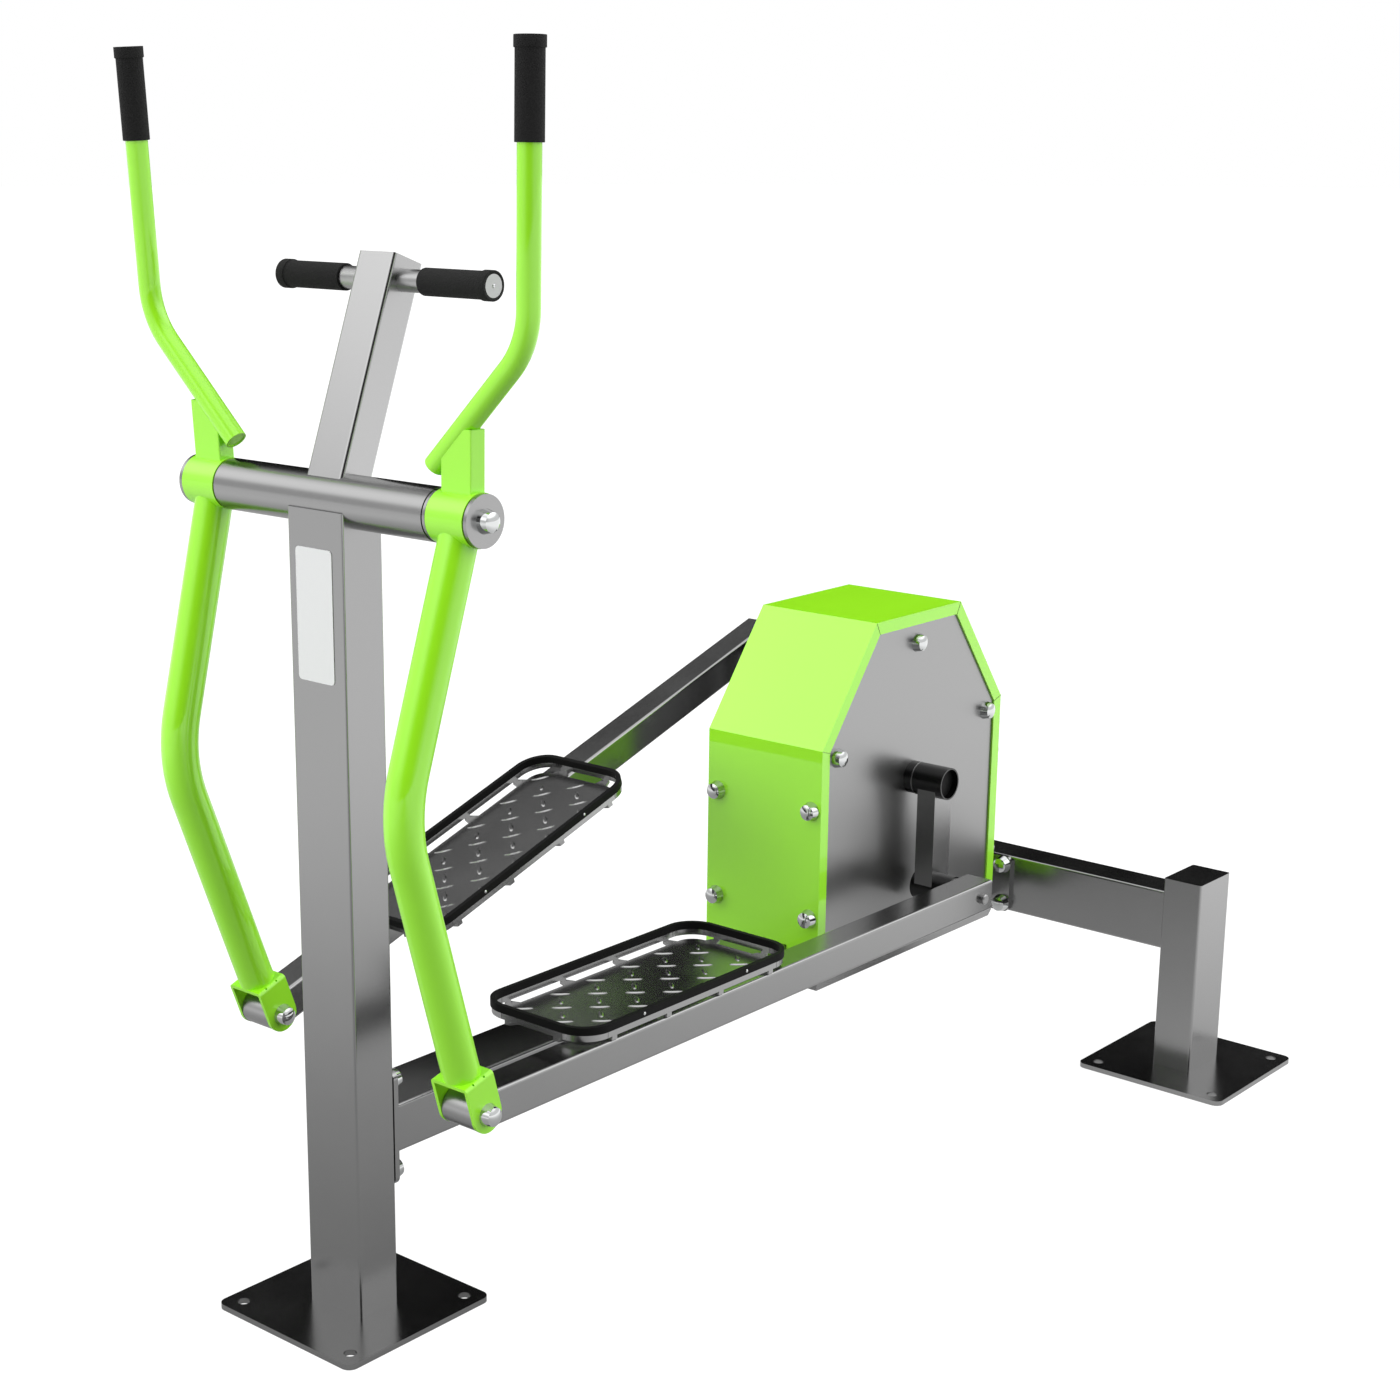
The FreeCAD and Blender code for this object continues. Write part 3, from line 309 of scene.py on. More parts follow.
def add_mix(tree, factor, first, second):
    """Add a mix of two values and give its result."""
    inputs = {"Factor": factor, "A": first, "B": second}
    return add_node(tree, "ShaderNodeMix", inputs).outputs["Result"]


def add_range(tree, value, start, end, shape="LINEAR"):
    """Map a value from one range to another and give the result."""
    inputs = {
        "Value": value,
        "From Min": start[0],
        "From Max": start[1],
        "To Min": end[0],
        "To Max": end[1],
    }
    return add_node(tree, "ShaderNodeMapRange", inputs, interpolation_type=shape).outputs["Result"]


def add_aside(tree, place):
    """Measure a place or direction towards the lit side of the room."""
    inputs = {0: place, 1: ROOM_SIDE}
    return add_node(tree, "ShaderNodeVectorMath", inputs, operation="DOT_PRODUCT").outputs["Value"]


# Node groups for effects that several finishes share
def start_group(name, inputs, outputs):
    """Start a node group and give it with what it is given and its output node."""
    group = bpy.data.node_groups.new(name, "ShaderNodeTree")
    for label, kind, default in inputs:
        socket = group.interface.new_socket(name=label, in_out="INPUT", socket_type=kind)
        if default is not None:
            socket.default_value = default
    for label, kind in outputs:
        group.interface.new_socket(name=label, in_out="OUTPUT", socket_type=kind)
    given = group.nodes.new("NodeGroupInput").outputs
    return group, given, group.nodes.new("NodeGroupOutput")


def mottle_group():
    """Slow drift of a coat's shade and gloss over the surface."""
    group, given, result = start_group(
        "Coat mottling",
        [
            ("Vector", "NodeSocketVector", None),
            ("Colour", "NodeSocketColor", (0.5, 0.5, 0.5, 1.0)),
            ("Drift", "NodeSocketFloat", 0.08),
            ("Rough low", "NodeSocketFloat", 0.3),
            ("Rough high", "NodeSocketFloat", 0.4),
        ],
        [("Colour", "NodeSocketColor"), ("Roughness", "NodeSocketFloat")],
    )
    wide = add_noise(group, given["Vector"], scale=9.0, detail=4.0)
    fine = add_noise(group, given["Vector"], scale=160.0, detail=3.0)
    slow = add_math(group, "MULTIPLY", wide, WIDE_SHARE)
    both = add_math(group, "MULTIPLY_ADD", fine, FINE_SHARE, slow)
    centred = add_math(group, "SUBTRACT", both, NOISE_MIDDLE)
    drift = add_math(group, "MULTIPLY_ADD", centred, given["Drift"], 1.0)
    inputs = {0: given["Colour"], "Scale": drift}
    shade = add_node(group, "ShaderNodeVectorMath", inputs, operation="SCALE").outputs["Vector"]
    rough = add_range(group, both, NOISE_REACH, (given["Rough low"], given["Rough high"]))
    fill(group, result, {"Colour": shade, "Roughness": rough})
    return group


def peel_group():
    """Fine orange peel of a sprayed coat, as a height."""
    group, given, result = start_group(
        "Orange peel",
        [
            ("Vector", "NodeSocketVector", None),
            ("Scale", "NodeSocketFloat", 420.0),
            ("Coarse", "NodeSocketFloat", 0.4),
        ],
        [("Height", "NodeSocketFloat")],
    )
    fine = add_noise(group, given["Vector"], scale=given["Scale"], detail=2.0)
    coarse = add_noise(group, given["Vector"], scale=220.0, detail=1.0)
    fill(group, result, {"Height": add_mix(group, given["Coarse"], fine, coarse)})
    return group


def lathe_group():
    """Fine turning lines round an axis along Y, as a height."""
    group, given, result = start_group(
        "Turning lines",
        [("Vector", "NodeSocketVector", None), ("Lines", "NodeSocketFloat", 900.0)],
        [("Height", "NodeSocketFloat")],
    )
    split = add_node(group, "ShaderNodeSeparateXYZ", {0: given["Vector"]}).outputs
    close = add_math(group, "MULTIPLY", split["Y"], given["Lines"])
    inputs = {"X": split["X"], "Y": close, "Z": split["Z"]}
    join = add_node(group, "ShaderNodeCombineXYZ", inputs).outputs[0]
    fill(group, result, {"Height": add_noise(group, join, scale=1.0, detail=4.0)})
    return group


GROUP_MAKERS = {"mottle": mottle_group, "peel": peel_group, "lathe": lathe_group}
GROUPS = {}


def use_group(tree, name, inputs):
    """Place a shared node group in a finish, with the finish's own values."""
    if name not in GROUPS:
        GROUPS[name] = GROUP_MAKERS[name]()
    return add_node(tree, "ShaderNodeGroup", inputs, node_tree=GROUPS[name]).outputs


# Finishes
def start_finish(name):
    """Start a material and give it with its tree, its shader and its Object coordinates."""
    material = bpy.data.materials.new(name)
    material.use_nodes = True
    tree = material.node_tree
    place = tree.nodes.new("ShaderNodeTexCoord").outputs["Object"]
    return material, tree, tree.nodes["Principled BSDF"], place


def add_mottle(tree, shader, place, tint, drift, rough):
    """Feed a shader's colour and roughness from the mottling."""
    inputs = {
        "Vector": place,
        "Colour": (*tint, 1.0),
        "Drift": drift,
        "Rough low": rough[0],
        "Rough high": rough[1],
    }
    mottle = use_group(tree, "mottle", inputs)
    fill(tree, shader, {"Base Color": mottle["Colour"], "Roughness": mottle["Roughness"]})


def add_bump(tree, shader, height, depth):
    """Feed a shader's normal from a height."""
    bump = add_node(tree, "ShaderNodeBump", {"Strength": 1.0, "Distance": depth, "Height": height})
    fill(tree, shader, {"Normal": bump.outputs["Normal"]})


def sprayed(name, tint, rough, metallic=0.0, drift=0.08, peel=0.0000015, coat=0.0, gloss=0.5):
    """A sprayed or powder coat with slow mottling and orange peel."""
    material, tree, shader, place = start_finish(name)
    add_mottle(tree, shader, place, tint, drift, rough)
    add_bump(tree, shader, use_group(tree, "peel", {"Vector": place})["Height"], peel)
    plain = {
        "Metallic": metallic,
        "Specular IOR Level": gloss,
        "Coat Weight": coat,
        "Coat Roughness": COAT_ROUGH,
        "Coat IOR": COAT_IOR,
    }
    fill(tree, shader, plain)
    return material


def turned(name, tint, rough):
    """Bare turned metal with fine lines round its axis."""
    material, tree, shader, place = start_finish(name)
    add_mottle(tree, shader, place, tint, TURNED_DRIFT, rough)
    add_bump(tree, shader, use_group(tree, "lathe", {"Vector": place})["Height"], TURNED_DEEP)
    fill(tree, shader, {"Metallic": 1.0})
    return material


def foam_finish(name, tint):
    """Closed-cell foam: open pores between rounded grains, nearly without gloss. The pores are painted darker as
    painted shade in the hollows, and the grain tops paler as a painted highlight, both following the bump's
    height.
    """
    material, tree, shader, place = start_finish(name)
    cells = add_node(tree, "ShaderNodeTexVoronoi", {"Vector": place, "Scale": 520.0}).outputs["Distance"]
    grains = add_noise(tree, place, scale=900.0, detail=3.0)
    heap = add_math(tree, "ADD", cells, grains)
    ramp = add_node(tree, "ShaderNodeValToRGB", {"Fac": heap})
    pore_shade, lit_grain = ramp.color_ramp.elements
    pore_shade.position = FOAM_PORE_UP_TO
    pore_shade.color = (*[part * FOAM_PORE_SHADE for part in tint], 1.0)
    lit_grain.position = FOAM_GRAIN_FROM
    lit_grain.color = (*[part * FOAM_GRAIN_HIGHLIGHT for part in tint], 1.0)
    fill(tree, shader, {"Base Color": ramp.outputs["Color"], "Roughness": 0.9, "Specular IOR Level": 0.3})
    add_bump(tree, shader, heap, FOAM_DEEP)
    return material


def make_finishes(tints):
    """Finishes by the record's slots, and those that some parts have of their own."""
    metal = {"metallic": 1.0}
    return {
        "frame_grey": sprayed("Satin grey coat", tints.grey, rough=SATIN, **metal),
        # Paler copy of the satin grey: a painted sheen on the leaning post
        "upper_grey_painted_sheen": sprayed("Satin grey with painted sheen", tints.upper, rough=SATIN, **metal),
        "panel_grey": sprayed("Satin grey sheet", tints.grey, rough=(0.28, 0.34), **metal),
        "lime_green": sprayed("Lime gloss coat", tints.lime, coat=0.33, **LIME_PAINT),
        # Paler copy of the lime paint: painted light on the housing
        "lime_sheet_painted_light": sprayed("Lime gloss paled as painted light", tints.sheet, coat=0.44, **LIME_PAINT),
        "tray_grey": sprayed("Chequer plate coat", tints.tray, rough=(0.20, 0.245), drift=0.06, **metal),
        "crank_grey": sprayed("Dark crank coat", tints.crank, rough=SATIN, **metal),
        "crank_black": sprayed(
            "Black plug", tints.plug, rough=(0.50, 0.60), drift=0.2, peel=0.00005, gloss=0.15
        ),
        "chrome": sprayed("Polished chrome", tints.chrome, rough=(0.02, 0.05), drift=0.03, **metal),
        "satin_steel": turned("Turned steel", tints.steel, rough=(0.28, 0.36)),
        "bush_bronze": turned("Sintered bronze", tints.bronze, rough=(0.35, 0.50)),
        "cast_wheel": sprayed(
            "Raw casting", tints.casting, rough=(0.55, 0.75), metallic=0.8, drift=0.3, peel=0.0003
        ),
        "foam": foam_finish("Closed-cell foam", tints.foam),
        "edge_rubber": sprayed(
            "Edge rubber", tints.rubber, rough=(0.55, 0.70), drift=0.3, peel=0.00015, gloss=0.1
        ),
        "end_cap": sprayed("Bar plug", tints.end_cap, rough=(0.35, 0.45)),
        "blank_plate": sprayed("Blank plate", tints.plate, rough=(0.30, 0.40), drift=0.03),
    }


FINISHES = {}


# Places on the moving parts, for shapes that are drawn with Y outwards
def swung_place(joint, turn, name):
    """Place at a joint's height in the middle plane, turned round Y, on one side."""
    lift = Matrix.Translation((joint.x, 0.0, joint.z))
    return lift @ Matrix.Rotation(turn, 4, "Y") @ Matrix.Scale(SIDES[name], 4, (0, 1, 0))


def handle_place(name):
    """Place of a lever's handle, from the pivot."""
    return swung_place(PIVOT, HANDLE_LEAN + LEVER_TURNS[name], name)


def arm_place(name):
    """Place of a pedal arm, from its fork pin."""
    return swung_place(PINS[name], ARM_TURNS[name], name)


def tray_side(sizes, name):
    """Distance of a tray's middle from the middle plane."""
    return sizes.tray_side + (sizes.tray_shift if name == "right" else 0.0)


def bar_middle(sizes):
    """Middle of the fixed bar, on the leaning post."""
    up_post = Vector((math.sin(POST_LEAN), 0.0, math.cos(POST_LEAN)))
    return Vector((PIVOT.x, 0.0, PIVOT.z)) + up_post * sizes.bar_along


# Shapes and pieces
def close_mesh(bm):
    """Merge doubles and turn the faces outwards."""
    bmesh.ops.remove_doubles(bm, verts=bm.verts, dist=MERGE_GAP)
    bmesh.ops.recalc_face_normals(bm, faces=bm.faces)


def to_mesh(name, bm):
    """Turn a bmesh into a mesh."""
    mesh = bpy.data.meshes.new(name)
    bm.to_mesh(mesh)
    bm.free()
    return mesh


def add_object(name, data):
    """Add an object to the scene."""
    item = bpy.data.objects.new(name, data)
    bpy.context.scene.collection.objects.link(item)
    return item


def make_piece(name, bm, body, finish, smooth=True):
    """Turn a bmesh into an object that rides on a body."""
    for face in bm.faces:
        face.smooth = smooth
    mesh = to_mesh(name, bm)
    mesh.materials.append(FINISHES[finish])
    piece = add_object(name, mesh)
    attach(piece, body)
    return piece


def spun(points, steps):
    """A shape spun round Z from a profile of radius and height."""
    bm = bmesh.new()
    ring = [bm.verts.new((radius, 0.0, height)) for radius, height in points]
    edges = [bm.edges.new(pair) for pair in zip(ring, ring[1:])]
    bmesh.ops.spin(
        bm, geom=ring + edges, cent=(0, 0, 0), axis=(0, 0, 1), angle=math.tau, steps=steps, use_merge=True
    )
    close_mesh(bm)
    return bm


def round_edges(bm, edges, offset, segments):
    """Round edges of a shape."""
    bmesh.ops.bevel(
        bm, geom=edges, offset=offset, offset_type="OFFSET", segments=segments, profile=0.5,
        affect="EDGES", material=-1, clamp_overlap=True,
    )


def add_copy(bm, mesh, place):
    """Add a copy of a mesh at a place."""
    before = len(bm.verts)
    bm.from_mesh(mesh)
    bm.verts.ensure_lookup_table()
    bmesh.ops.transform(bm, matrix=place, verts=bm.verts[before:])


class TRAINER_OT_finishes(bpy.types.Operator):
    """Make the finishes and give every frame part its own"""

    bl_idname = "trainer.finishes"
    bl_label = "Finishes"

    def execute(self, context):
        FINISHES.update(make_finishes(context.scene.trainer_colours))
        for part in frame["record"]["subparts"]:
            mesh = frame["nodes"][part["node"]].data
            finish = OWN_FINISH.get(part["node"], part["material_slot"])
            mesh.materials.clear()
            mesh.materials.append(FINISHES[finish])
        return {"FINISHED"}


def sleeve(sizes, closed):
    """A foam sleeve along Z, its collar on top, with a bore for the bar."""
    neck = sizes.grip_long - sizes.collar_long
    points = [
        (sizes.bar_radius, neck),
        (sizes.bar_radius, 0.0),
        (sizes.grip_radius, 0.0),
        (sizes.grip_radius, neck),
        (sizes.collar_radius, neck),
        (sizes.collar_radius, sizes.grip_long),
        (0.0 if closed else sizes.bar_radius, sizes.grip_long),
    ]
    bm = spun(points, SLEEVE_STEPS)
    sharp = [edge for edge in bm.edges if edge.calc_face_angle(0.0) > SLEEVE_SHARP]
    round_edges(bm, sharp, LEVER_GRIP_ROUND if closed else BAR_GRIP_ROUND, SLEEVE_ROUND_STEPS)
    bore = [edge for edge in bm.edges if edge.is_boundary]
    if closed:
        bmesh.ops.holes_fill(bm, edges=bore, sides=0)
    else:
        bmesh.ops.bridge_loops(bm, edges=bore)
    return bm


class TRAINER_OT_grips(bpy.types.Operator):
    """Foam grips on the levers and on the fixed bar"""

    bl_idname = "trainer.grips"
    bl_label = "Foam grips"

    def execute(self, context):
        sizes = context.scene.trainer_sizes
        for name in SIDES:
            bm = sleeve(sizes, closed=True)
            lift = Matrix.Translation((0.0, sizes.handle_side, sizes.handle_top - sizes.grip_long))
            bmesh.ops.transform(bm, matrix=handle_place(name) @ lift, verts=bm.verts)
            close_mesh(bm)
            grip = make_piece("lever_%s_foam" % name, bm, "lever_%s" % name, "foam")
            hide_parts("lever_%s_grip" % name)
        mesh = to_mesh("sleeve", sleeve(sizes, closed=False))
        middle = Matrix.Translation(bar_middle(sizes))
        start = Matrix.Translation((0.0, 0.0, sizes.bar_half - sizes.grip_long))
        pair = bmesh.new()
        for side in SIDES.values():
            turn = Matrix.Scale(side, 4, (0, 1, 0)) @ Matrix.Rotation(-math.pi / 2, 4, "X")
            add_copy(pair, mesh, middle @ turn @ start)
        bpy.data.meshes.remove(mesh)
        close_mesh(pair)
        grips = make_piece("fixed_bar_foam", pair, "frame", "foam")
        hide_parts("fixed_bar_grips")
        return {"FINISHED"}


def bump_mesh(long, wide, high, blunt):
    """One bar of chequer plate: a flat top, sloping sides and pointed ends, or one of them blunt."""
    bm = bmesh.new()
    bmesh.ops.create_circle(bm, segments=BUMP_CORNERS, radius=1.0, cap_ends=True)
    for vert in bm.verts:
        if vert.co.x > 0.0 or not blunt:
            vert.co.y *= abs(vert.co.y)
    bmesh.ops.scale(bm, vec=(long / 2, wide / 2, 1.0), verts=bm.verts)
    raised = bmesh.ops.extrude_face_region(bm, geom=bm.faces[:])["geom"]
    top = [part for part in raised if isinstance(part, bmesh.types.BMVert)]
    bmesh.ops.translate(bm, vec=(0.0, 0.0, high), verts=top)
    bmesh.ops.scale(bm, vec=BUMP_TOP, verts=top)
    return to_mesh("bump", bm)


def bar_spots(sizes, name):
    """Places of the bars on a tray's floor, along the arm and outwards."""
    for row in range(ROWS):
        across = sizes.tray_side + ROW_FIRST + row * sizes.row_pitch
        for step in BARS:
            along = sizes.tray_middle + BARS_START[name] + (step + 0.5 * (row % 2)) * sizes.bar_pitch
            yield along, across


class TRAINER_OT_chequer(bpy.types.Operator):
    """Raised bars and drops on the floors of the foot trays"""

    bl_idname = "trainer.chequer"
    bl_label = "Chequer plate"

    def execute(self, context):
        sizes = context.scene.trainer_sizes
        bar = bump_mesh(sizes.bump_long, BAR_WIDE, sizes.bump_high, blunt=False)
        drop = bump_mesh(DROP_LONG, DROP_WIDE, sizes.bump_high, blunt=True)
        for name, side in SIDES.items():
            bm = bmesh.new()
            slant = -side * BUMP_SLANT
            for along, across in bar_spots(sizes, name):
                for shape, shift, turn in ((bar, 0.0, slant), (drop, DROP_SHIFT, -slant)):
                    spot = Vector((along + shift, across + side * shift, sizes.tray_floor))
                    if abs(spot.x - sizes.tray_middle) > sizes.tray_half - BARE_END:
                        continue
                    if abs(spot.y - tray_side(sizes, name)) > sizes.tray_half_wide - BARE_SIDE:
                        continue
                    place = Matrix.Translation(spot) @ Matrix.Rotation(turn, 4, "Z")
                    add_copy(bm, shape, arm_place(name) @ place)
            bmesh.ops.recalc_face_normals(bm, faces=bm.faces)
            make_piece("arm_%s_chequer" % name, bm, "arm_%s" % name, "tray_grey", smooth=False)
        bpy.data.meshes.remove(bar)
        bpy.data.meshes.remove(drop)
        return {"FINISHED"}


class TRAINER_OT_rivets(bpy.types.Operator):
    """Small rivets of the tray trims and of the bar's end plugs"""

    bl_idname = "trainer.rivets"
    bl_label = "Rivets"

    def execute(self, context):
        sizes = context.scene.trainer_sizes
        bm = bmesh.new()
        bmesh.ops.create_uvsphere(
            bm, u_segments=RIVET_AROUND, v_segments=RIVET_RINGS, radius=RIVET_RADIUS
        )
        bmesh.ops.scale(bm, vec=(1.0, RIVET_FLAT, 1.0), verts=bm.verts)
        head = to_mesh("rivet", bm)
        for name in SIDES:
            bm = bmesh.new()
            for along in (-RIVET_ALONG, RIVET_ALONG):
                for edge in ENDS:
                    across = tray_side(sizes, name) + edge * (sizes.tray_half_wide + RIVET_OUT)
                    spot = (sizes.tray_middle + along, across, RIVET_UP)
                    add_copy(bm, head, arm_place(name) @ Matrix.Translation(spot))
            bmesh.ops.recalc_face_normals(bm, faces=bm.faces)
            make_piece("arm_%s_trim_rivets" % name, bm, "arm_%s" % name, "chrome")
        bm = bmesh.new()
        for side in SIDES.values():
            spot = bar_middle(sizes) + Vector((0.0, side * sizes.bar_half, 0.0))
            add_copy(bm, head, Matrix.Translation(spot))
        bmesh.ops.recalc_face_normals(bm, faces=bm.faces)
        make_piece("fixed_bar_rivets", bm, "frame", "chrome")
        bpy.data.meshes.remove(head)
        return {"FINISHED"}


def nut_mesh(sizes):
    """A cap nut along Z: a tapered wall and a low dome, with a crisp edge between them."""
    ball = (sizes.nut_top ** 2 + sizes.nut_dome ** 2) / (2.0 * sizes.nut_dome)
    peak = sizes.nut_wall + sizes.nut_dome
    points = [(0.0, 0.0), (sizes.nut_base, 0.0), (sizes.nut_top, sizes.nut_wall)]
    for step in range(1, DOME_STEPS + 1):
        turn = math.asin(sizes.nut_top / ball) * (1.0 - step / DOME_STEPS)
        points.append((ball * math.sin(turn), peak - ball * (1.0 - math.cos(turn))))
    bm = spun(points, NUT_STEPS)
    for edge in bm.edges:
        edge.smooth = edge.calc_face_angle(0.0) < NUT_CREASE
    return to_mesh("nut", bm)


def nut_spots(sizes):
    """Feet and outward directions of the cap nuts, by the node that each set stands for."""
    low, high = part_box("housing_shell")
    half = (high.x - low.x) / 2
    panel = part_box("housing_panels")[1].y
    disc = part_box("pivot_end_discs")[1].y
    rear_low, rear_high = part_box("rear_flange")
    front_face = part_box("front_flange")[1].x
    beam = (rear_low.z + rear_high.z) / 2
    shoulder = AXLE.z + sizes.shoulder_up - NUT_BELOW_SHOULDER
    housing, rear, front, pivot = [], [], [], []
    for side in SIDES.values():
        out = (0.0, side, 0.0)
        housing.append(((AXLE.x, side * panel, high.z - NUT_BELOW_TOP), out))
        pivot.append(((PIVOT.x, side * disc, PIVOT.z), out))
        for end in ENDS:
            housing.append(((AXLE.x + end * (half - NUT_FROM_END), side * panel, shoulder), out))
            rear.append(((rear_low.x, side * REAR_NUT_OUT, beam + end * REAR_NUT_UP), (-1.0, 0.0, 0.0)))
            front.append(((front_face, side * FRONT_NUT_OUT, beam + end * FRONT_NUT_UP), (1.0, 0.0, 0.0)))
            for up in NUT_ROWS:
                foot = (AXLE.x + end * half, side * (high.y - NUT_FROM_SIDE), low.z + up)
                housing.append((foot, (end, 0.0, 0.0)))
    return {
        "housing_bolts": housing,
        "rear_flange_bolts": rear,
        "front_flange_nuts": front,
        "pivot_caps": pivot,
    }


def nut_set(nut, spots):
    """Cap nuts on their spots."""
    bm = bmesh.new()
    for spot, way in spots:
        turn = Vector(way).to_track_quat("Z", "Y").to_matrix().to_4x4()
        add_copy(bm, nut, Matrix.Translation(spot) @ turn)
    return bm


def add_pin(bm, middle):
    """Add a fork's plain pin along Y."""
    pin = bmesh.ops.create_cone(
        bm, cap_ends=True, segments=NUT_STEPS, radius1=PIN_RADIUS, radius2=PIN_RADIUS, depth=PIN_LONG
    )
    place = Matrix.Translation(middle) @ Matrix.Rotation(math.pi / 2, 4, "X")
    bmesh.ops.transform(bm, matrix=place, verts=pin["verts"])


class TRAINER_OT_nuts(bpy.types.Operator):
    """Chromed cap nuts of the housing, the flanges, the lever pivots and the forks"""

    bl_idname = "trainer.nuts"
    bl_label = "Cap nuts"

    def execute(self, context):
        sizes = context.scene.trainer_sizes
        nut = nut_mesh(sizes)
        for node, spots in nut_spots(sizes).items():
            piece = make_piece("%s_chrome" % node, nut_set(nut, spots), "frame", "chrome")
            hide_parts(node)
        for name, pin in PINS.items():
            node = "lever_%s_fork_bolt" % name
            cheeks = [Vector((pin.x, cheek.y, pin.z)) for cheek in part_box("lever_%s_fork" % name)]
            bm = nut_set(nut, [(cheek, (0.0, way, 0.0)) for cheek, way in zip(cheeks, ENDS)])
            add_pin(bm, (cheeks[0] + cheeks[1]) / 2)
            piece = make_piece("%s_chrome" % node, bm, "lever_%s" % name, "chrome")
            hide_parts(node)
        bpy.data.meshes.remove(nut)
        return {"FINISHED"}


class TRAINER_OT_seams(bpy.types.Operator):
    """Mitre seams where the side strips of the housing meet"""

    bl_idname = "trainer.seams"
    bl_label = "Housing seams"

    def execute(self, context):
        sizes = context.scene.trainer_sizes
        low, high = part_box("housing_shell")
        half = (high.x - low.x) / 2
        shoulder = AXLE.z + sizes.shoulder_up
        slope = math.atan2(half - sizes.top_half, high.z - shoulder)
        lower = slope / 2
        upper = (slope + math.pi / 2) / 2
        bends = (
            (half, shoulder, lower, sizes.strip / math.cos(lower)),
            (sizes.top_half, high.z, upper, sizes.strip / math.cos(math.pi / 2 - upper)),
        )
        bm = bmesh.new()
        for out, up, turn, long in bends:
            for end in ENDS:
                for side in SIDES.values():
                    inward = Vector((-end * math.cos(turn), 0.0, -math.sin(turn)))
                    middle = Vector((AXLE.x + end * out, side * high.y, up)) + inward * long / 2
                    place = Matrix.Translation(middle) @ inward.to_track_quat("X", "Y").to_matrix().to_4x4()
                    seam = bmesh.ops.create_cube(bm, size=1.0)["verts"]
                    bmesh.ops.scale(bm, vec=(long, SEAM_DEEP, SEAM_WIDE), verts=seam)
                    bmesh.ops.transform(bm, matrix=place, verts=seam)
        make_piece("housing_seams", bm, "frame", "edge_rubber", smooth=False)
        return {"FINISHED"}


class TRAINER_OT_plate(bpy.types.Operator):
    """Blank plate on the front post"""

    bl_idname = "trainer.plate"
    bl_label = "Blank plate"

    def execute(self, context):
        sizes = context.scene.trainer_sizes
        half = PLATE_THICK / 2
        bm = bmesh.new()
        bmesh.ops.create_cube(bm, size=1.0)
        bmesh.ops.scale(bm, vec=(PLATE_THICK, sizes.plate_wide, sizes.plate_tall), verts=bm.verts)
        corners = [edge for edge in bm.edges if abs((edge.verts[0].co - edge.verts[1].co).x) > half]
        round_edges(bm, corners, PLATE_ROUND, PLATE_ROUND_STEPS)
        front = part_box("front_post")[0].x
        bmesh.ops.translate(bm, vec=(front - half, PLATE_ACROSS, PLATE_UP), verts=bm.verts)
        make_piece("blank_plate", bm, "frame", "blank_plate", smooth=False)
        return {"FINISHED"}


def pale_floor(glow):
    """A pale floor: white to the eye, and to metal and gloss paler towards the lit sides of the room."""
    material = bpy.data.materials.new("Pale floor")
    material.use_nodes = True
    material.cycles.emission_sampling = "NONE"
    tree = material.node_tree
    tree.nodes.remove(tree.nodes["Principled BSDF"])
    place = tree.nodes.new("ShaderNodeTexCoord").outputs["Object"]
    path = tree.nodes.new("ShaderNodeLightPath").outputs
    aside = add_math(tree, "SUBTRACT", add_aside(tree, place), FLOOR_SPLIT)
    away = add_math(tree, "ABSOLUTE", aside)
    fade = add_range(tree, away, FLOOR_AWAY, FLOOR_FADE, "SMOOTHSTEP")
    lean = add_range(tree, aside, FLOOR_BAND, FLOOR_LEAN)
    tilted = add_math(tree, "MULTIPLY", fade, lean)
    bent = add_math(tree, "MAXIMUM", path["Is Glossy Ray"], path["Is Transmission Ray"])
    mirrored = add_math(tree, "MULTIPLY", bent, tilted)
    seen = add_math(tree, "MAXIMUM", path["Is Camera Ray"], mirrored)
    shine = add_node(tree, "ShaderNodeEmission", {"Strength": add_math(tree, "MULTIPLY", seen, glow)})
    matt = add_node(tree, "ShaderNodeBsdfDiffuse", {"Color": (FLOOR_TINT, FLOOR_TINT, FLOOR_TINT, 1.0)})
    both = add_node(tree, "ShaderNodeAddShader", {0: matt.outputs[0], 1: shine.outputs[0]})
    fill(tree, tree.nodes["Material Output"], {"Surface": both.outputs[0]})
    return material


def side_lit_room(light):
    """A studio that is bright to the left and right, dim before and behind, and soft overhead."""
    world = bpy.data.worlds.new("Studio")
    world.use_nodes = True
    tree = world.node_tree
    way = tree.nodes.new("ShaderNodeTexCoord").outputs["Generated"]
    path = tree.nodes.new("ShaderNodeLightPath").outputs
    across = add_aside(tree, way)
    height = add_node(tree, "ShaderNodeSeparateXYZ", {0: way}).outputs["Z"]
    aside = add_math(tree, "ABSOLUTE", across)
    sides = add_range(tree, aside, ROOM_TO_SIDES, (light.ends, light.sides), "SMOOTHSTEP")
    lean = add_math(tree, "MULTIPLY_ADD", across, ROOM_LEAN, 1.0)
    tilted = add_math(tree, "MULTIPLY", sides, lean)
    above = add_range(tree, height, ROOM_TO_ABOVE, (0.0, light.above), "SMOOTHSTEP")
    room = add_math(tree, "MAXIMUM", tilted, above)
    low = add_range(tree, height, ROOM_LOW, (light.low, 1.0), "SMOOTHSTEP")
    mirrored = add_math(tree, "MULTIPLY", room, add_mix(tree, path["Is Glossy Ray"], 1.0, low))
    seen = add_mix(tree, path["Is Camera Ray"], mirrored, 1.0)
    fill(tree, tree.nodes["Background"], {"Color": (1.0, 1.0, 1.0, 1.0), "Strength": seen})
    return world


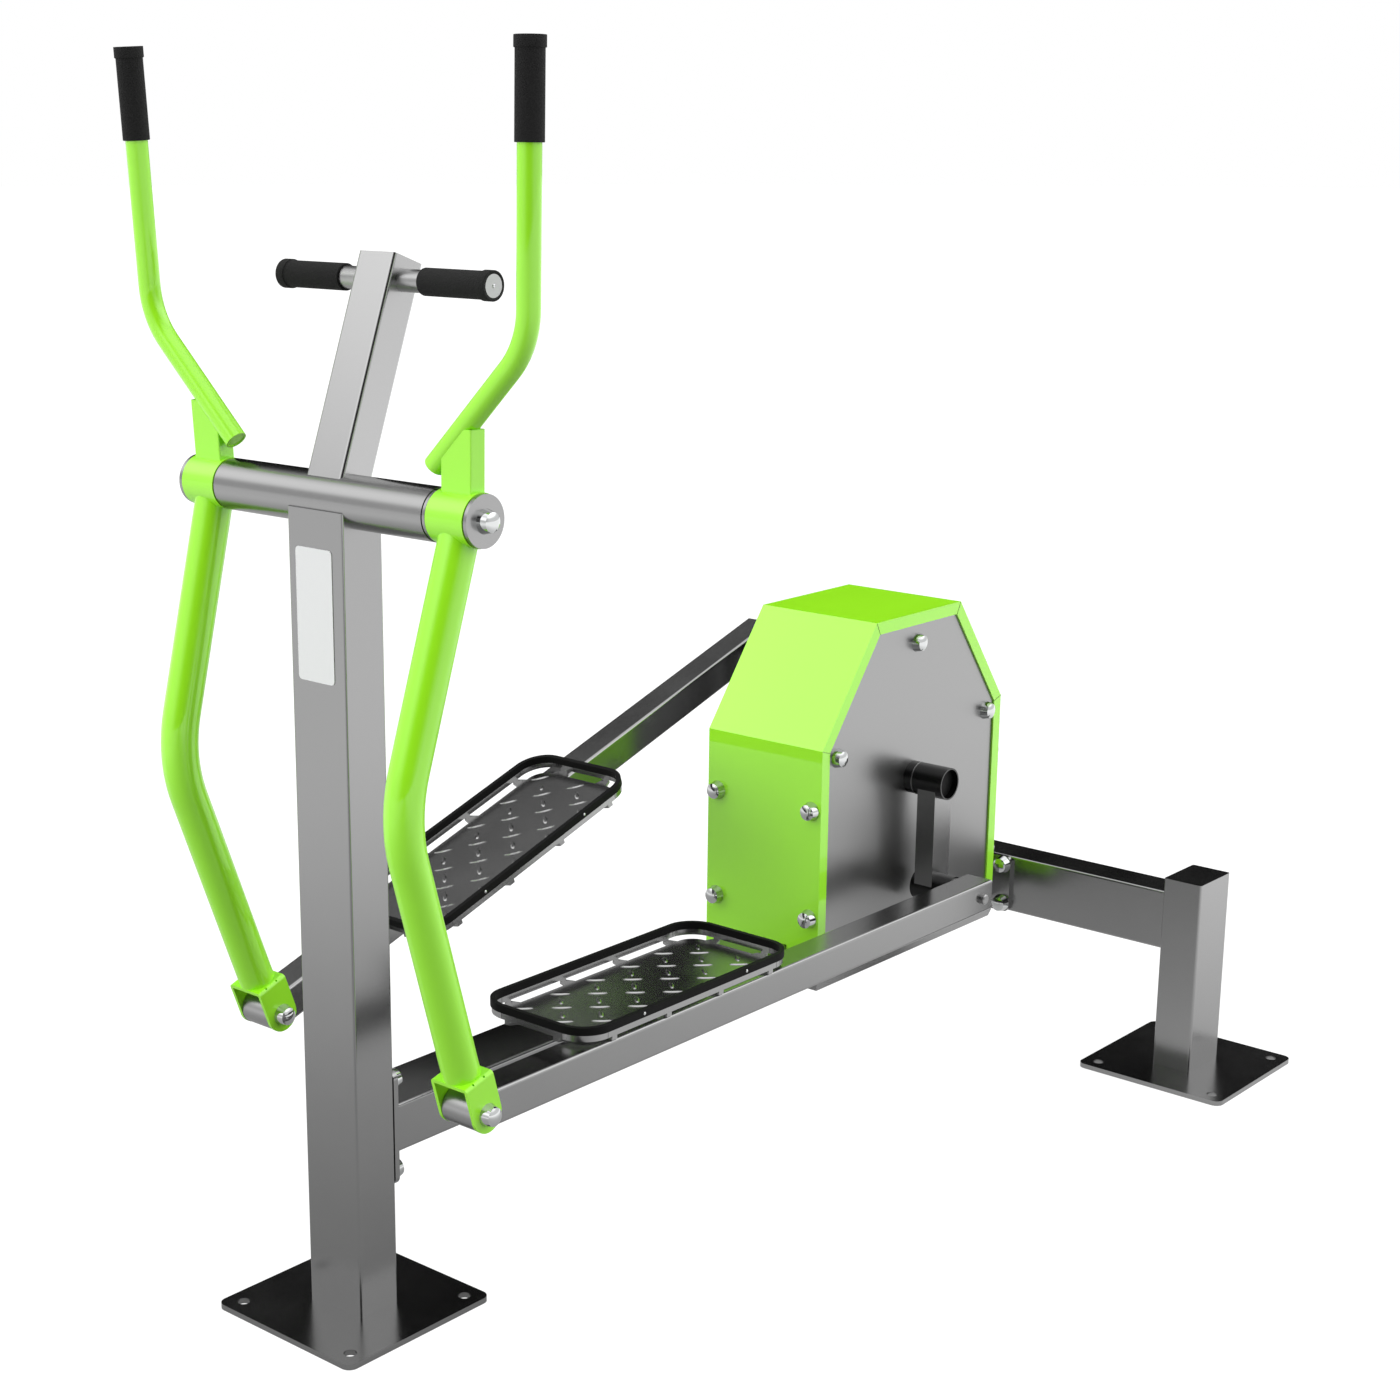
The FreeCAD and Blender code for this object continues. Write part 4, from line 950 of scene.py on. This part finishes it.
def add_lamp(power):
    """The soft box, which lights the object but isn't seen or mirrored."""
    lamp = bpy.data.lights.new("soft_box", "AREA")
    lamp.shape = "RECTANGLE"
    lamp.size = LAMP_SIDE
    lamp.size_y = LAMP_SIDE
    lamp.energy = power
    holder = add_object("soft_box", lamp)
    holder.location = LAMP_PLACE
    holder.rotation_mode = "QUATERNION"
    holder.rotation_quaternion = (Vector(LAMP_TARGET) - Vector(LAMP_PLACE)).to_track_quat("-Z", "Y")
    holder.visible_camera = False
    holder.visible_glossy = False


def add_camera(scene):
    """The camera at the photograph's viewing angle."""
    lens = bpy.data.cameras.new("camera")
    lens.sensor_width = SENSOR
    lens.lens = SENSOR * FOCAL_LENGTH / PICTURE
    lens.shift_x = (PICTURE / 2 - PICTURE_MIDDLE[0]) / PICTURE
    lens.shift_y = (PICTURE_MIDDLE[1] - PICTURE / 2) / PICTURE
    lens.clip_end = CAMERA_FAR
    camera = add_object("camera", lens)
    camera.location = CAMERA_PLACE
    camera.rotation_euler = (math.pi / 2 - CAMERA_PITCH, 0.0, CAMERA_YAW - math.pi / 2)
    scene.camera = camera


class TRAINER_OT_stage(bpy.types.Operator):
    """Floor, room, lamp and camera"""

    bl_idname = "trainer.stage"
    bl_label = "Stage"

    def execute(self, context):
        light = context.scene.trainer_light
        bm = bmesh.new()
        bmesh.ops.create_circle(bm, segments=FLOOR_CORNERS, radius=FLOOR_RADIUS, cap_ends=True)
        mesh = to_mesh("floor", bm)
        mesh.materials.append(pale_floor(light.floor))
        floor = add_object("floor", mesh)
        floor.location.z = -FLOOR_DROP
        context.scene.world = side_lit_room(light)
        add_lamp(light.box)
        context.scene.view_settings.view_transform = "Standard"
        add_camera(context.scene)
        return {"FINISHED"}


class TRAINER_PT_panel(bpy.types.Panel):
    """Settings and steps that dress the trainer"""

    bl_idname = "TRAINER_PT_panel"
    bl_label = "Cross trainer"
    bl_space_type = "VIEW_3D"
    bl_region_type = "UI"
    bl_category = "Trainer"

    def draw(self, context):
        for name, group in SETTINGS.items():
            box = self.layout.box()
            box.label(text=group.__doc__)
            for setting in group.__annotations__:
                box.prop(getattr(context.scene, name), setting)
        for step in STEPS:
            self.layout.operator(step.bl_idname)


STEPS = (
    TRAINER_OT_finishes,
    TRAINER_OT_grips,
    TRAINER_OT_chequer,
    TRAINER_OT_rivets,
    TRAINER_OT_nuts,
    TRAINER_OT_seams,
    TRAINER_OT_plate,
    TRAINER_OT_stage,
)
SETTINGS = {
    "trainer_colours": TrainerColours,
    "trainer_sizes": TrainerSizes,
    "trainer_light": TrainerLight,
}
CLASSES = (*SETTINGS.values(), *STEPS, TRAINER_PT_panel)


def register():
    for item in CLASSES:
        bpy.utils.register_class(item)
    for name, group in SETTINGS.items():
        setattr(bpy.types.Scene, name, PointerProperty(type=group))


def unregister():
    for name in SETTINGS:
        delattr(bpy.types.Scene, name)
    for item in reversed(CLASSES):
        bpy.utils.unregister_class(item)


def main():
    register()
    bpy.ops.trainer.finishes()
    bpy.ops.trainer.grips()
    bpy.ops.trainer.chequer()
    bpy.ops.trainer.rivets()
    bpy.ops.trainer.nuts()
    bpy.ops.trainer.seams()
    bpy.ops.trainer.plate()
    bpy.ops.trainer.stage()


if __name__ == "__main__":
    main()
